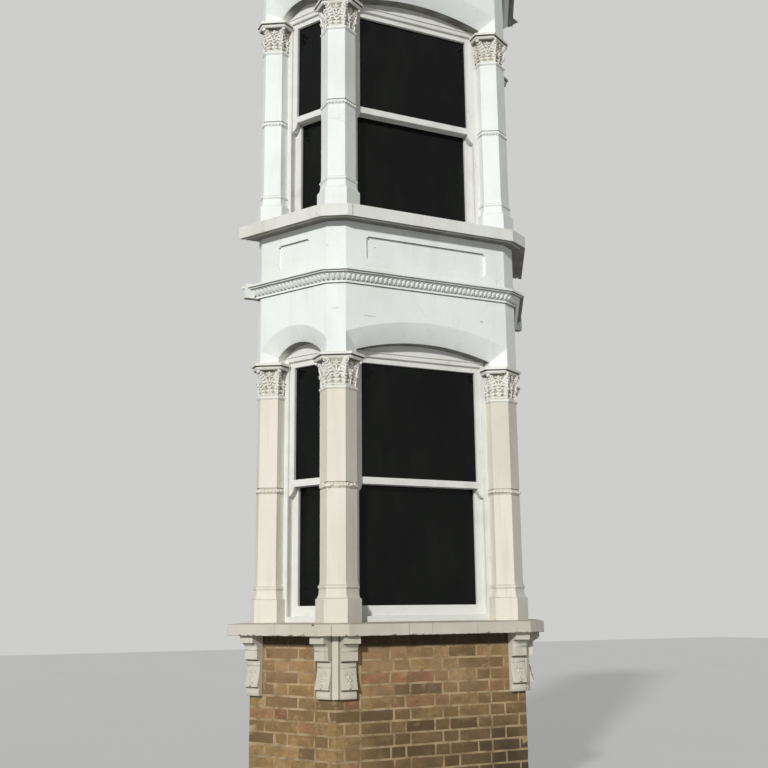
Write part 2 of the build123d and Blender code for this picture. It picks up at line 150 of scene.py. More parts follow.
class Nodes:
    """A node tree that is being filled."""

    def __init__(self, tree: bpy.types.NodeTree) -> None:
        """Keep the tree."""
        self.tree = tree

    def node(self, kind: str, settings: dict, inputs: dict, output: int | str = 0) -> Signal:
        """Add a node of any kind.

        Args:
            kind: The node's type.
            settings: Properties to set first; "stops" fills a ramp.
            inputs: Values or links by socket name or number.
            output: The output to return.

        Returns:
            The chosen output.
        """
        node = self.tree.nodes.new(kind)
        for name, value in settings.items():
            if name == "stops":
                ramp = node.color_ramp.elements
                while len(ramp) < len(value):
                    ramp.new(0.5)
                for element, (position, colour) in zip(ramp, value):
                    element.position = position
                    element.color = colour
            else:
                setattr(node, name, value)
        for key, value in inputs.items():
            self.join(value, node.inputs[key])
        return Signal(self, node.outputs[output])

    def join(self, value: "Value | Colour", socket: bpy.types.NodeSocket) -> None:
        """Link a signal to a socket, or set a plain value on it."""
        if isinstance(value, Signal):
            self.tree.links.new(value.socket, socket)
        else:
            socket.default_value = value

    def math(self, operation: str, *values: Value) -> Signal:
        """Add one Math node."""
        return self.node("ShaderNodeMath", {"operation": operation}, dict(enumerate(values)))

    def mix(self, mask: Value, under: Signal | Colour, over: Signal | Colour) -> Signal:
        """Blend two colours by a mask."""
        return self.node("ShaderNodeMix", {"data_type": "RGBA"}, {0: mask, 6: under, 7: over}, 2)

    def seen(self) -> Signal:
        """Mark what the camera, gloss and glass see."""
        camera, gloss, glass = (self.node("ShaderNodeLightPath", {}, {}, f"Is {ray} Ray")
                                for ray in ("Camera", "Glossy", "Transmission"))
        return camera.either(gloss).either(glass)


class Shader(Nodes):
    """A material being made round one Principled shader."""

    def __init__(self, name: str, **constants: float) -> None:
        """Start a material.

        Args:
            name: The finish's name.
            **constants: Values set on the shader's own sockets, with _ for each space.
        """
        self.material = bpy.data.materials.new(name)
        self.material.use_nodes = True
        super().__init__(self.material.node_tree)
        self.surface = self.tree.nodes["Principled BSDF"]
        for socket, value in constants.items():
            self.surface.inputs[socket.replace("_", " ").title().replace("Ior", "IOR")].default_value = value
        self.place = self.node("ShaderNodeTexCoord", {}, {}, "Object")
        self.normal = self.node("ShaderNodeNewGeometry", {}, {}, "Normal")

    def axis(self, index: int, of: Signal | None = None) -> Signal:
        """Take one coordinate of a vector, or of the place in the frame."""
        return self.node("ShaderNodeSeparateXYZ", {}, {0: of or self.place}, index)

    def stretched(self, scale: Point) -> Signal:
        """Scale the place in the frame by a factor along each axis."""
        return self.node("ShaderNodeVectorMath", {"operation": "MULTIPLY"}, {0: self.place, 1: scale})

    def noise(self, scale: float, stretch: Point = (1, 1, 1), detail: float = 4,
              rough: float = 0.55) -> Signal:
        """Make noise in the frame.

        Args:
            scale: Features in a metre.
            stretch: A factor along each axis.
            detail: Octaves.
            rough: Share of each octave.

        Returns:
            Noise from 0 to 1.
        """
        return self.node(
            "ShaderNodeTexNoise", {},
            {"Vector": self.stretched(stretch), "Scale": scale, "Detail": detail, "Roughness": rough})

    def cracks(self, scale: float, width: float) -> Signal:
        """Draw fine wandering lines.

        Args:
            scale: Cells in a metre.
            width: Width of a line as a share of a cell.

        Returns:
            1 on the lines, 0 elsewhere.
        """
        wander = self.node(
            "ShaderNodeTexNoise", {}, {"Vector": self.place, "Scale": scale * 3, "Detail": 3}, 1)
        bent = self.node("ShaderNodeVectorMath", {"operation": "MULTIPLY_ADD"},
                         {0: wander, 1: (0.12, 0.12, 0.12), 2: self.place})
        edge = self.node("ShaderNodeTexVoronoi", {"feature": "DISTANCE_TO_EDGE"},
                         {"Vector": bent, "Scale": scale})
        return edge.rise(width, 0)

    def lift(self, colour: Colour, share: float) -> None:
        """Let a stage surface show a plain colour to the camera, to gloss and to glass.

        Args:
            colour: The plain colour.
            share: How much of it shows, from 0 to 1.
        """
        plain = self.node("ShaderNodeEmission", {}, {"Color": colour})
        own = Signal(self, self.surface.outputs[0])
        mixed = self.node("ShaderNodeMixShader", {}, {0: self.seen() * share, 1: own, 2: plain})
        self.join(mixed, self.tree.nodes["Material Output"].inputs["Surface"])

    def sill_soot_and_shadow(self, body: Signal) -> Signal:
        """Darken the top course with soot and a painted shadow of the ground sill.

        Args:
            body: Colour of the brick or mortar.

        Returns:
            The same colour, dark in the top course.
        """
        # Soot and a painted shadow of the ground sill darken the top course.
        return self.mix(self.axis(2).rise(1.12, 1.14) * 0.75, body, srgb(38, 32, 24))

    def flaw(self, flaw: "Flaw") -> Signal:
        """Mark one ragged spot, joint or crack.

        Args:
            flaw: Its place and size.

        Returns:
            1 on it, 0 elsewhere.
        """
        offset = self.node("ShaderNodeVectorMath", {"operation": "SUBTRACT"}, {0: self.place, 1: flaw.place})
        scaled = self.node("ShaderNodeVectorMath", {"operation": "DIVIDE"}, {0: offset, 1: flaw.size})
        away = self.node("ShaderNodeVectorMath", {"operation": "LENGTH"}, {0: scaled}, 1)
        return (away + self.noise(70, detail=3) * 0.9 - 0.45).rise(1.1, 0.8)

    def finish(self, colour: Signal | Colour, roughness: Value, height: Signal | None = None,
               depth: float = 0.001) -> bpy.types.Material:
        """Join the surface's colour, roughness and relief.

        Args:
            colour: Base colour.
            roughness: Roughness.
            height: Relief from 0 to 1.
            depth: What a relief of 1 is in metres.

        Returns:
            The finished material.
        """
        self.join(colour, self.surface.inputs["Base Color"])
        self.join(roughness, self.surface.inputs["Roughness"])
        if height is not None:
            bump = self.node("ShaderNodeBump", {}, {"Strength": 1.0, "Distance": depth, "Height": height})
            self.join(bump, self.surface.inputs["Normal"])
        return self.material


@dataclass(frozen=True)
class Finish:
    """A finish with a name of its own."""

    name: str


@dataclass(frozen=True)
class Flaw:
    """One place where the masonry is cracked, chipped, holed or jointed."""

    place: Point
    size: Point
    depth: float = 0.8


@dataclass(frozen=True)
class Fresh:
    """A cleaner coat of paint above a level."""

    level: float
    colour: Colour


@dataclass(frozen=True)
class Paint(Finish):
    """Exterior paint on stone or render, with rain streaks, grime on its ledges, cracks and chips, and soot
    with painted shade on its undersides.
    """

    colour: Colour
    shade: Colour
    dirt: Colour
    dirtiness: float = 0.5
    worn: float = 0.5
    flaws: tuple[Flaw, ...] = ()
    fresh: Fresh | None = None
    chipped_shaded_foot: float | None = None

    @cache
    def material(self) -> bpy.types.Material:
        """Build the finish."""
        shader = Shader(self.name)
        height = shader.axis(2)
        body = shader.mix(shader.noise(2.3, detail=5).rise(0.35, 0.7), self.colour, self.shade)
        if self.fresh:
            level = self.fresh.level
            body = shader.mix(height.rise(level - 0.003, level + 0.003), body, self.fresh.colour)
        streaks = shader.noise(14, (1, 1, 0.06), detail=6, rough=0.6).rise(0.5, 0.78)
        body = shader.mix(streaks * (0.45 * self.dirtiness), body, self.dirt)
        facing = shader.axis(2, shader.normal)
        soot_and_shade = shader.noise(9, detail=6).rise(0.3, 0.7)
        body = shader.mix(facing.rise(0.35, 0.9) * (soot_and_shade * 0.5 + 0.35) * self.dirtiness, body, self.dirt)
        # Soot on the undersides, with painted shade that soft light doesn't cast there.
        body = shader.mix(facing.rise(-0.7, -0.92) * (soot_and_shade * 0.14 + 0.78), body, srgb(70, 64, 54))
        freckles = shader.noise(120, detail=3).rise(0.66, 0.76) * shader.noise(6).rise(0.45, 0.65)
        body = shader.mix(freckles * (0.5 * self.worn), body, self.dirt)
        chips = shader.noise(38, detail=5, rough=0.65).rise(0.71 - 0.04 * self.worn, 0.74)
        body = shader.mix(chips * 0.7, body, srgb(168, 156, 132))
        lines = shader.cracks(2.2, 0.004) * shader.noise(1.6).rise(0.6, 0.66)
        body = shader.mix(lines * (0.6 * self.worn), body, srgb(112, 106, 94))
        grain = shader.noise(420, detail=3) * 0.3 + shader.noise(45, detail=5) * 1.1 + shader.noise(16) * 1.4
        relief = grain - chips * 0.8 - lines
        if self.chipped_shaded_foot is not None:
            # Dark bites along the foot stand for chips; their dark colour is painted shade from under the
            # edge.
            edge = height - shader.noise(26, detail=7, rough=0.7).rise(0.47, 0.72) * 0.013
            shaded_bites = edge.rise(self.chipped_shaded_foot + 0.003, self.chipped_shaded_foot)
            body = shader.mix(shaded_bites * 0.85, body, srgb(70, 62, 48))
        for flaw in self.flaws:
            mark = shader.flaw(flaw)
            body = shader.mix(mark * flaw.depth, body, srgb(74, 68, 56))
            relief = relief - mark * 3
        rough = shader.noise(25) * 0.2 + 0.55
        return shader.finish(body, rough, relief, 0.0009)


@dataclass(frozen=True)
class Recess(Finish):
    """Soot and painted shade in the deep hollows of the carving, clean where the stone is sawn off at the
    house wall.
    """

    name: str = "sooty_shaded_recess"

    @cache
    def material(self) -> bpy.types.Material:
        """Build the finish."""
        shader = Shader(self.name)
        # The bell behind the carving is darker: soot together with painted shade in its hollows.
        soot_and_shade = shader.mix(shader.noise(60, detail=5).rise(0.35, 0.7),
                          srgb(186, 181, 166), srgb(132, 125, 106))
        sawn = shader.axis(1, shader.normal).rise(0.9, 0.99)
        body = shader.mix(sawn, soot_and_shade, srgb(224, 221, 209))
        return shader.finish(body, 0.85, shader.noise(80, detail=4), 0.001)


@dataclass(frozen=True)
class Brick(Finish):
    """Soft buff bricks, each with its own tone, with darker and redder ones among them."""

    name: str = "buff_brick"

    @cache
    def material(self) -> bpy.types.Material:
        """Build the finish."""
        shader = Shader(self.name)
        chance = shader.node("ShaderNodeNewGeometry", {}, {}, "Random Per Island")
        tone = shader.node("ShaderNodeValToRGB", {"stops": (
            (0.0, srgb(100, 80, 54)), (0.12, srgb(122, 97, 62)), (0.36, srgb(146, 117, 74)),
            (0.66, srgb(160, 130, 84)), (0.86, srgb(168, 136, 92)), (0.95, srgb(156, 110, 74)),
            (1.0, srgb(128, 90, 62)))}, {0: chance})
        cloud = shader.noise(9, (1, 1, 1.6), detail=7, rough=0.64)
        body = shader.mix(cloud.rise(0.46, 0.6) * 0.5, tone, srgb(118, 98, 66))
        body = shader.mix(cloud.rise(0.45, 0.32) * 0.6, body, srgb(186, 152, 106))
        patches = shader.noise(30, detail=6, rough=0.72)
        body = shader.mix(patches.rise(0.5, 0.66) * 0.4, body, srgb(96, 78, 52))
        smears = shader.noise(55, (1, 1, 1.6), detail=6, rough=0.72).rise(0.58, 0.68)
        body = shader.mix(smears * 0.35, body, srgb(190, 164, 124))
        washed = shader.axis(2).rise(0.7, 1.0) * shader.noise(3.6, detail=6, rough=0.6).rise(0.42, 0.6)
        body = shader.mix(washed * 0.34, body, srgb(180, 149, 112))
        region = shader.noise(1.7, detail=3).rise(0.42, 0.62)
        towards_right = shader.axis(0).rise(-0.65, -0.3) * 0.62
        damp = shader.axis(2).rise(1.0, 0.45) * (region * 0.3 + 0.04 + towards_right)
        body = shader.mix(damp, body, srgb(66, 54, 34))
        body = shader.sill_soot_and_shadow(body)
        pits = shader.noise(150, detail=5, rough=0.75)
        return shader.finish(body, 0.9, pits * 0.8 + patches * 1.3, 0.003)


@dataclass(frozen=True)
class Mortar(Finish):
    """Pinkish lime mortar between the bricks."""

    name: str = "lime_mortar"

    @cache
    def material(self) -> bpy.types.Material:
        """Build the finish."""
        shader = Shader(self.name)
        body = shader.mix(shader.noise(9, detail=7, rough=0.65).rise(0.38, 0.66),
                          srgb(184, 160, 122), srgb(132, 110, 78))
        body = shader.mix(shader.axis(2).rise(0.9, 0.2) * 0.3, body, srgb(104, 90, 64))
        body = shader.sill_soot_and_shadow(body)
        return shader.finish(body, 0.95, shader.noise(180, detail=5), 0.002)


@dataclass(frozen=True)
class Slate(Finish):
    """Blue-grey roofing slate, each piece with its own tone."""

    name: str = "roof_slate"

    @cache
    def material(self) -> bpy.types.Material:
        """Build the finish."""
        shader = Shader(self.name)
        chance = shader.node("ShaderNodeNewGeometry", {}, {}, "Random Per Island")
        tone = shader.node("ShaderNodeValToRGB", {"stops": (
            (0.0, srgb(78, 82, 92)), (0.4, srgb(96, 100, 110)), (0.75, srgb(108, 110, 118)),
            (1.0, srgb(90, 86, 92)))}, {0: chance})
        lichen = shader.noise(14, detail=7, rough=0.7).rise(0.58, 0.7)
        body = shader.mix(lichen * 0.5, tone, srgb(142, 142, 122))
        riven = shader.noise(30, (1, 1, 0.3), detail=6)
        return shader.finish(body, shader.noise(20) * 0.25 + 0.4, riven, 0.002)


@dataclass(frozen=True)
class Lead(Finish):
    """Dull grey sheet lead with pale streaks."""

    name: str = "sheet_lead"

    @cache
    def material(self) -> bpy.types.Material:
        """Build the finish."""
        shader = Shader(self.name, metallic=0.3)
        body = shader.mix(shader.noise(12, (1, 1, 0.3), detail=5), srgb(118, 120, 124), srgb(158, 160, 162))
        return shader.finish(body, 0.55, shader.noise(22, detail=4), 0.001)


@dataclass(frozen=True)
class Gloss(Finish):
    """Old gloss paint on joinery, with patches of grime and dark specks."""

    colour: Colour
    dirt: Colour

    @cache
    def material(self) -> bpy.types.Material:
        """Build the finish."""
        shader = Shader(self.name, coat_weight=0.15, coat_roughness=0.2)
        brushed = shader.noise(60, (1, 1, 0.05), detail=4)
        grime = shader.noise(7, detail=6).rise(0.45, 0.8)
        body = shader.mix(grime * 0.25, self.colour, self.dirt)
        specks = shader.noise(160, detail=3).rise(0.68, 0.76)
        body = shader.mix(specks * 0.4, body, self.dirt)
        return shader.finish(body, shader.noise(9) * 0.15 + 0.32, brushed, 0.0004)


@dataclass(frozen=True)
class Glass(Finish):
    """Smeared window glass in front of a dark room."""

    name: str = "dark_window_glass"

    @cache
    def material(self) -> bpy.types.Material:
        """Build the finish."""
        shader = Shader(self.name, specular_ior_level=0.14)
        smears = shader.noise(5, (1, 1, 0.3), detail=6).rise(0.35, 0.8)
        body = shader.mix(smears * 0.25, srgb(8, 11, 9), srgb(44, 46, 42))
        return shader.finish(body, smears * 0.06 + 0.03, shader.noise(1.3, detail=1), 0.004)


@dataclass(frozen=True)
class Boards(Finish):
    """Pine floor boards with dark joints, and the same timber for joists."""

    name: str = "pine_boards"
    pitch: float = 0.14

    @cache
    def material(self) -> bpy.types.Material:
        """Build the finish."""
        shader = Shader(self.name)
        run = shader.axis(0) / self.pitch
        joint = abs(run.math("FRACT") - 0.5).rise(0.475, 0.49)
        grain = shader.noise(30, (1, 0.04, 1), detail=6)
        body = shader.mix(grain.rise(0.3, 0.7), srgb(176, 138, 92), srgb(134, 98, 60))
        body = shader.mix(joint, body, srgb(40, 30, 20))
        return shader.finish(body, 0.5, grain * 0.5 - joint, 0.0015)


class Studio:
    """The floor, the lights and the camera."""

    lens: float = 48.23
    sensor: float = 36.0
    eye: Point = (-3.166, -6.3462, 1.363)
    yaw: float = 24.85
    pitch: float = 12.32
    roll: float = -0.57
    sun_azimuth: float = 42.0
    sun_height: float = 22.0
    sun_strength: float = 2.6
    sun_width: float = 4.0
    sky: Colour = srgb(246, 248, 255)
    sky_strength: float = 0.19
    backdrop: Colour = srgb(206, 206, 204)
    floor_lift: float = 0.45

    def camera(self) -> None:
        """Put the camera where the photograph was taken."""
        yaw, pitch, roll = (math.radians(angle) for angle in (self.yaw, self.pitch, self.roll))
        ahead = Vector((math.sin(yaw) * math.cos(pitch), math.cos(yaw) * math.cos(pitch), math.sin(pitch)))
        right = Vector((math.cos(yaw), -math.sin(yaw), 0))
        up = right.cross(ahead)
        level = math.cos(roll) * right + math.sin(roll) * up
        upright = math.cos(roll) * up - math.sin(roll) * right
        data = bpy.data.cameras.new("camera")
        data.lens = self.lens
        data.sensor_width = self.sensor
        camera = bpy.data.objects.new("camera", data)
        turned = Matrix((level, upright, -ahead)).transposed().to_4x4()
        camera.matrix_world = Matrix.Translation(self.eye) @ turned
        bpy.context.scene.collection.objects.link(camera)
        bpy.context.scene.camera = camera

    def light(self, name: str, azimuth: float, height: float, strength: float, angle: float) -> None:
        """Add a soft distant lamp.

        Args:
            name: Name of the lamp.
            azimuth: Degrees to the left of the bay's front.
            height: Degrees above the horizon.
            strength: Light on a surface that faces the lamp.
            angle: Width of the lamp's disc in degrees.
        """
        lamp = bpy.data.lights.new(name, "SUN")
        lamp.energy = strength
        lamp.angle = math.radians(angle)
        turn, lift = math.radians(azimuth), math.radians(height)
        towards = Vector((-math.sin(turn) * math.cos(lift), -math.cos(turn) * math.cos(lift), math.sin(lift)))
        sun = bpy.data.objects.new(name, lamp)
        sun.rotation_mode = "QUATERNION"
        sun.rotation_quaternion = towards.to_track_quat("Z", "Y")
        bpy.context.scene.collection.objects.link(sun)

    def world(self) -> None:
        """Light the scene evenly, and show the backdrop's own colour to the camera, gloss and glass."""
        world = bpy.data.worlds.new("studio")
        world.use_nodes = True
        bpy.context.scene.world = world
        nodes = Nodes(world.node_tree)
        nodes.tree.nodes.remove(nodes.tree.nodes["Background"])
        lit = nodes.node("ShaderNodeBackground", {}, {0: self.sky, 1: self.sky_strength})
        shown = nodes.node("ShaderNodeBackground", {}, {0: self.backdrop})
        choice = nodes.node("ShaderNodeMixShader", {}, {0: nodes.seen(), 1: lit, 2: shown})
        nodes.join(choice, nodes.tree.nodes["World Output"].inputs["Surface"])

    def floor(self, half: float = 30.0) -> None:
        """Lay the plain pale floor."""
        mesh = bpy.data.meshes.new("floor")
        mesh.from_pydata([(x, y, 0) for x, y in ((-half, -half), (half, -half), (half, half), (-half, half))],
                         [], [(0, 1, 2, 3)])
        floor = bpy.data.objects.new("floor", mesh)
        shader = Shader("studio_floor")
        shader.finish(shader.mix(shader.noise(0.5), srgb(224, 223, 220), srgb(216, 215, 212)), 0.9)
        shader.lift(self.backdrop, self.floor_lift)
        floor.data.materials.append(shader.material)
        bpy.context.scene.collection.objects.link(floor)

    def build(self) -> None:
        """Set up the whole studio."""
        self.camera()
        self.light("key", self.sun_azimuth, self.sun_height, self.sun_strength, self.sun_width)
        self.world()
        self.floor()
        bpy.context.scene.view_settings.view_transform = "Standard"


WHITE = Paint(
    "white_masonry_paint", srgb(242, 246, 241), srgb(234, 237, 230), srgb(168, 162, 146), 0.35, 0.5, flaws=(
        Flaw((-0.685, -0.222, 3.327), (0.03, 0.02, 0.003), 0.18),
        Flaw((-0.446, -0.259, 3.288), (0.05, 0.02, 0.003), 0.16),
        Flaw((-0.397, -0.259, 3.785), (0.012, 0.02, 0.006), 0.35),
        Flaw((0.423, -0.259, 3.341), (0.01, 0.02, 0.008), 0.4)))
CAPITAL = Paint("capital_paint", srgb(238, 237, 229), srgb(226, 224, 211), srgb(150, 142, 120), 0.5, 0.4)
CREAM = Paint(
    "cream_masonry_paint", srgb(229, 224, 210), srgb(223, 218, 202), srgb(146, 136, 112), 0.5, 0.9, flaws=(
        Flaw((-0.662, -0.235, 1.285), (0.012, 0.012, 0.008)),
        Flaw((0.524, -0.2, 2.14), (0.09, 0.1, 0.0035), 0.5)),
    fresh=Fresh(2.777, srgb(236, 234, 224)))
BRACKET = Paint("bracket_paint", srgb(212, 207, 192), srgb(199, 193, 175), srgb(122, 112, 90), 0.9, 1.0)
GROUND_SILL = Paint(
    "ground_sill_paint", srgb(209, 203, 188), srgb(197, 190, 172), srgb(136, 126, 104), 0.5, 1.0, flaws=(
        Flaw((-0.748, -0.324, 1.245), (0.002, 0.02, 0.06), 0.35),
        Flaw((-0.243, -0.379, 1.237), (0.002, 0.02, 0.06), 0.35),
        Flaw((-0.077, -0.379, 1.234), (0.002, 0.02, 0.06), 0.25),
        Flaw((0.251, -0.379, 1.229), (0.002, 0.02, 0.06), 0.35),
        Flaw((-0.841, -0.249, 1.269), (0.009, 0.012, 0.007), 1.0)), chipped_shaded_foot=1.2)
UPPER_SILL = Paint(
    "upper_sill_paint", srgb(232, 233, 227), srgb(222, 221, 211), srgb(140, 132, 114), 0.45, 0.8, flaws=(
        Flaw((-0.609, -0.357, 3.98), (0.003, 0.02, 0.06), 0.5),))
TIMBER = Gloss("window_gloss", srgb(229, 229, 223), srgb(168, 158, 138))


@dataclass(frozen=True)
class Run:
    """One straight stretch of a course in plan, walked with the street on its right."""

    start: Vector
    end: Vector

    @property
    def length(self) -> float:
        """Length of the stretch."""
        return (self.end - self.start).length

    @property
    def along(self) -> Vector:
        """Direction from the start to the end."""
        return (self.end - self.start).normalized()

    @property
    def outward(self) -> Vector:
        """Direction towards the street."""
        return Vector((self.along.y, -self.along.x, 0))

    def at(self, along: float, out: float, height: float) -> Vector:
        """Find a place beside the stretch.

        Args:
            along: Distance from the start.
            out: Distance towards the street.
            height: Height above the ground.

        Returns:
            The place in the frame.
        """
        return self.start + self.along * along + self.outward * out + Vector((0, 0, height))


@dataclass(frozen=True)
class Plan:
    """The bay's plan: a front and two cants, with a facet of one pier's side between them."""

    front: float = 1.242
    cant: float = 0.585
    facet: float = 0.131
    shaft: float = 0.122
    turn: float = math.radians(60)
    frame_face: float = 0.14
    wall: float = field(default_factory=lambda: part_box("brick_base")[1].y)

    @property
    def slope(self) -> float:
        """How much a side grows at each end as its outline moves out."""
        return math.tan(self.turn / 4)

    @property
    def depth(self) -> float:
        """How far the front stands before the wall."""
        return self.facet + self.cant * math.sin(self.turn)

    def outline(self, out: float) -> list[Vector]:
        """Find the corners of the plan, from the left end at the wall to the right.

        Args:
            out: Distance that the plan is moved out.

        Returns:
            Its six corners.
        """
        half, facet = self.front / 2 + out * self.slope, self.facet + 2 * out * self.slope
        corner = Vector((half, self.wall - self.depth - out, 0))
        side = corner + Vector((facet * math.cos(self.turn / 2), facet * math.sin(self.turn / 2), 0))
        back = side + Vector(((self.wall - side.y) / math.tan(self.turn), self.wall - side.y, 0))
        right = [corner, side, back]
        return [Vector((-point.x, point.y, 0)) for point in reversed(right)] + right

    def plain_outline(self, out: float) -> list[Vector]:
        """Find the corners where the front and the cants meet without a facet.

        Args:
            out: Distance that the plan is moved out.

        Returns:
            Its four corners.
        """
        points = self.outline(out)
        arris = points[3].x + (self.facet + 2 * out * self.slope) / math.sqrt(3)
        return [points[0], Vector((-arris, points[3].y, 0)), Vector((arris, points[3].y, 0)), points[5]]

    @staticmethod
    def runs(points: Sequence[Vector]) -> list[Run]:
        """Join an outline's corners by runs."""
        return [Run(start, end) for start, end in zip(points, points[1:])]

    def piers(self) -> dict[str, Vector]:
        """Find the centre of each pier, by name."""
        side = self.outline(0)[4]
        wall_x = side.x + self.cant * math.cos(self.turn) - self.facet * math.cos(self.turn / 2)
        corner = Vector((self.front / 2, self.wall - self.depth + self.facet, 0))
        return {
            "left_wall": Vector((-wall_x, self.wall, 0)), "left_corner": Vector((-corner.x, corner.y, 0)),
            "right_corner": corner, "right_wall": Vector((wall_x, self.wall, 0))}

    @cached_property
    def faces(self) -> list[Run]:
        """The runs of the three faces that hold windows."""
        return [self.runs(self.outline(0))[index] for index in (0, 2, 4)]

    def depth_behind_faces(self, place: Vector) -> float:
        """Measure how far a place lies behind the nearest windowed face."""
        return min((run.start - place).dot(run.outward) for run in self.faces)


class Piece:
    """A new mesh that rides with the bay."""

    def __init__(self, name: str, slot: Slot) -> None:
        """Start an empty piece.

        Args:
            name: The piece's name.
            slot: The record's material slot; it is kept on the piece and not used.
        """
        self.name = name
        self.slot = slot.value
        self.points: list[Vector] = []
        self.faces: list[tuple[int, ...]] = []

    def rings(self, rings: Sequence[Sequence[Vector]]) -> None:
        """Add a closed skin through rings of points.

        Args:
            rings: Rings of as many points each, from the foot to the top.
        """
        count, start = len(rings[0]), len(self.points)
        for ring in rings:
            self.points.extend(ring)
        for level in range(start, start + count * (len(rings) - 1), count):
            for index in range(count):
                after = (index + 1) % count
                self.faces.append((level + index, level + after,
                                   level + count + after, level + count + index))
        self.faces.append(tuple(range(start + count - 1, start - 1, -1)))
        self.faces.append(tuple(range(len(self.points) - count, len(self.points))))

    def strip(self, ends: Sequence[Sequence[Vector]]) -> None:
        """Add a straight bar.

        Args:
            ends: The corners of its section, each given at both of its ends.
        """
        start, count = len(self.points), len(ends)
        for pair in ends:
            self.points.extend(pair)
        for index in range(count):
            after = (index + 1) % count
            near, far = start + 2 * index, start + 2 * after
            self.faces.append((near, near + 1, far + 1, far))
        self.faces.append(tuple(range(start, start + 2 * count, 2)))
        self.faces.append(tuple(range(start + 2 * count - 1, start, -2)))

    def egg(self, centre: Vector, across: Vector, up: Vector, size: Point, around: int = 12,
            rows: int = 6) -> None:
        """Add an egg-shaped bead.

        Args:
            centre: Its middle.
            across: Direction of its width.
            up: Direction of its length.
            size: Half its width, length and depth.
            around: Points round it.
            rows: Steps from one end to the other.
        """
        out = across.cross(up)
        rings = []
        for row in range(rows):
            tilt = math.pi * (row + 0.5) / rows
            rings.append([
                centre + across * (size[0] * math.sin(tilt) * math.cos(turn))
                + out * (size[2] * math.sin(tilt) * math.sin(turn)) - up * (size[1] * math.cos(tilt))
                for turn in (2 * math.pi * index / around for index in range(around))])
        self.rings(rings)

    def build(self, material: bpy.types.Material, smooth: bool = False, arris: float = 0.0,
              replaces: Sequence[str] = ()) -> bpy.types.Object:
        """Turn the mesh into an object that rides with the bay.

        Args:
            material: Its finish.
            smooth: Whether its faces shade as one curve.
            arris: How far its edges are rounded.
            replaces: Pieces of the frame that it stands for.

        Returns:
            The new object.
        """
        data = bpy.data.meshes.new(self.name)
        data.from_pydata(self.points, [], self.faces)
        mesh = bmesh.new()
        mesh.from_mesh(data)
        bmesh.ops.recalc_face_normals(mesh, faces=mesh.faces)
        mesh.to_mesh(data)
        mesh.free()
        for face in data.polygons:
            face.use_smooth = smooth
        data.materials.append(material)
        made = bpy.data.objects.new(self.name, data)
        bpy.context.scene.collection.objects.link(made)
        if arris:
            rounded = made.modifiers.new("arris", "BEVEL")
            rounded.width = arris
            rounded.segments = 2
        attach(made, BODY)
        if replaces:
            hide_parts(*replaces)
        log.info("%s: %d faces", self.name, len(data.polygons))
        return made


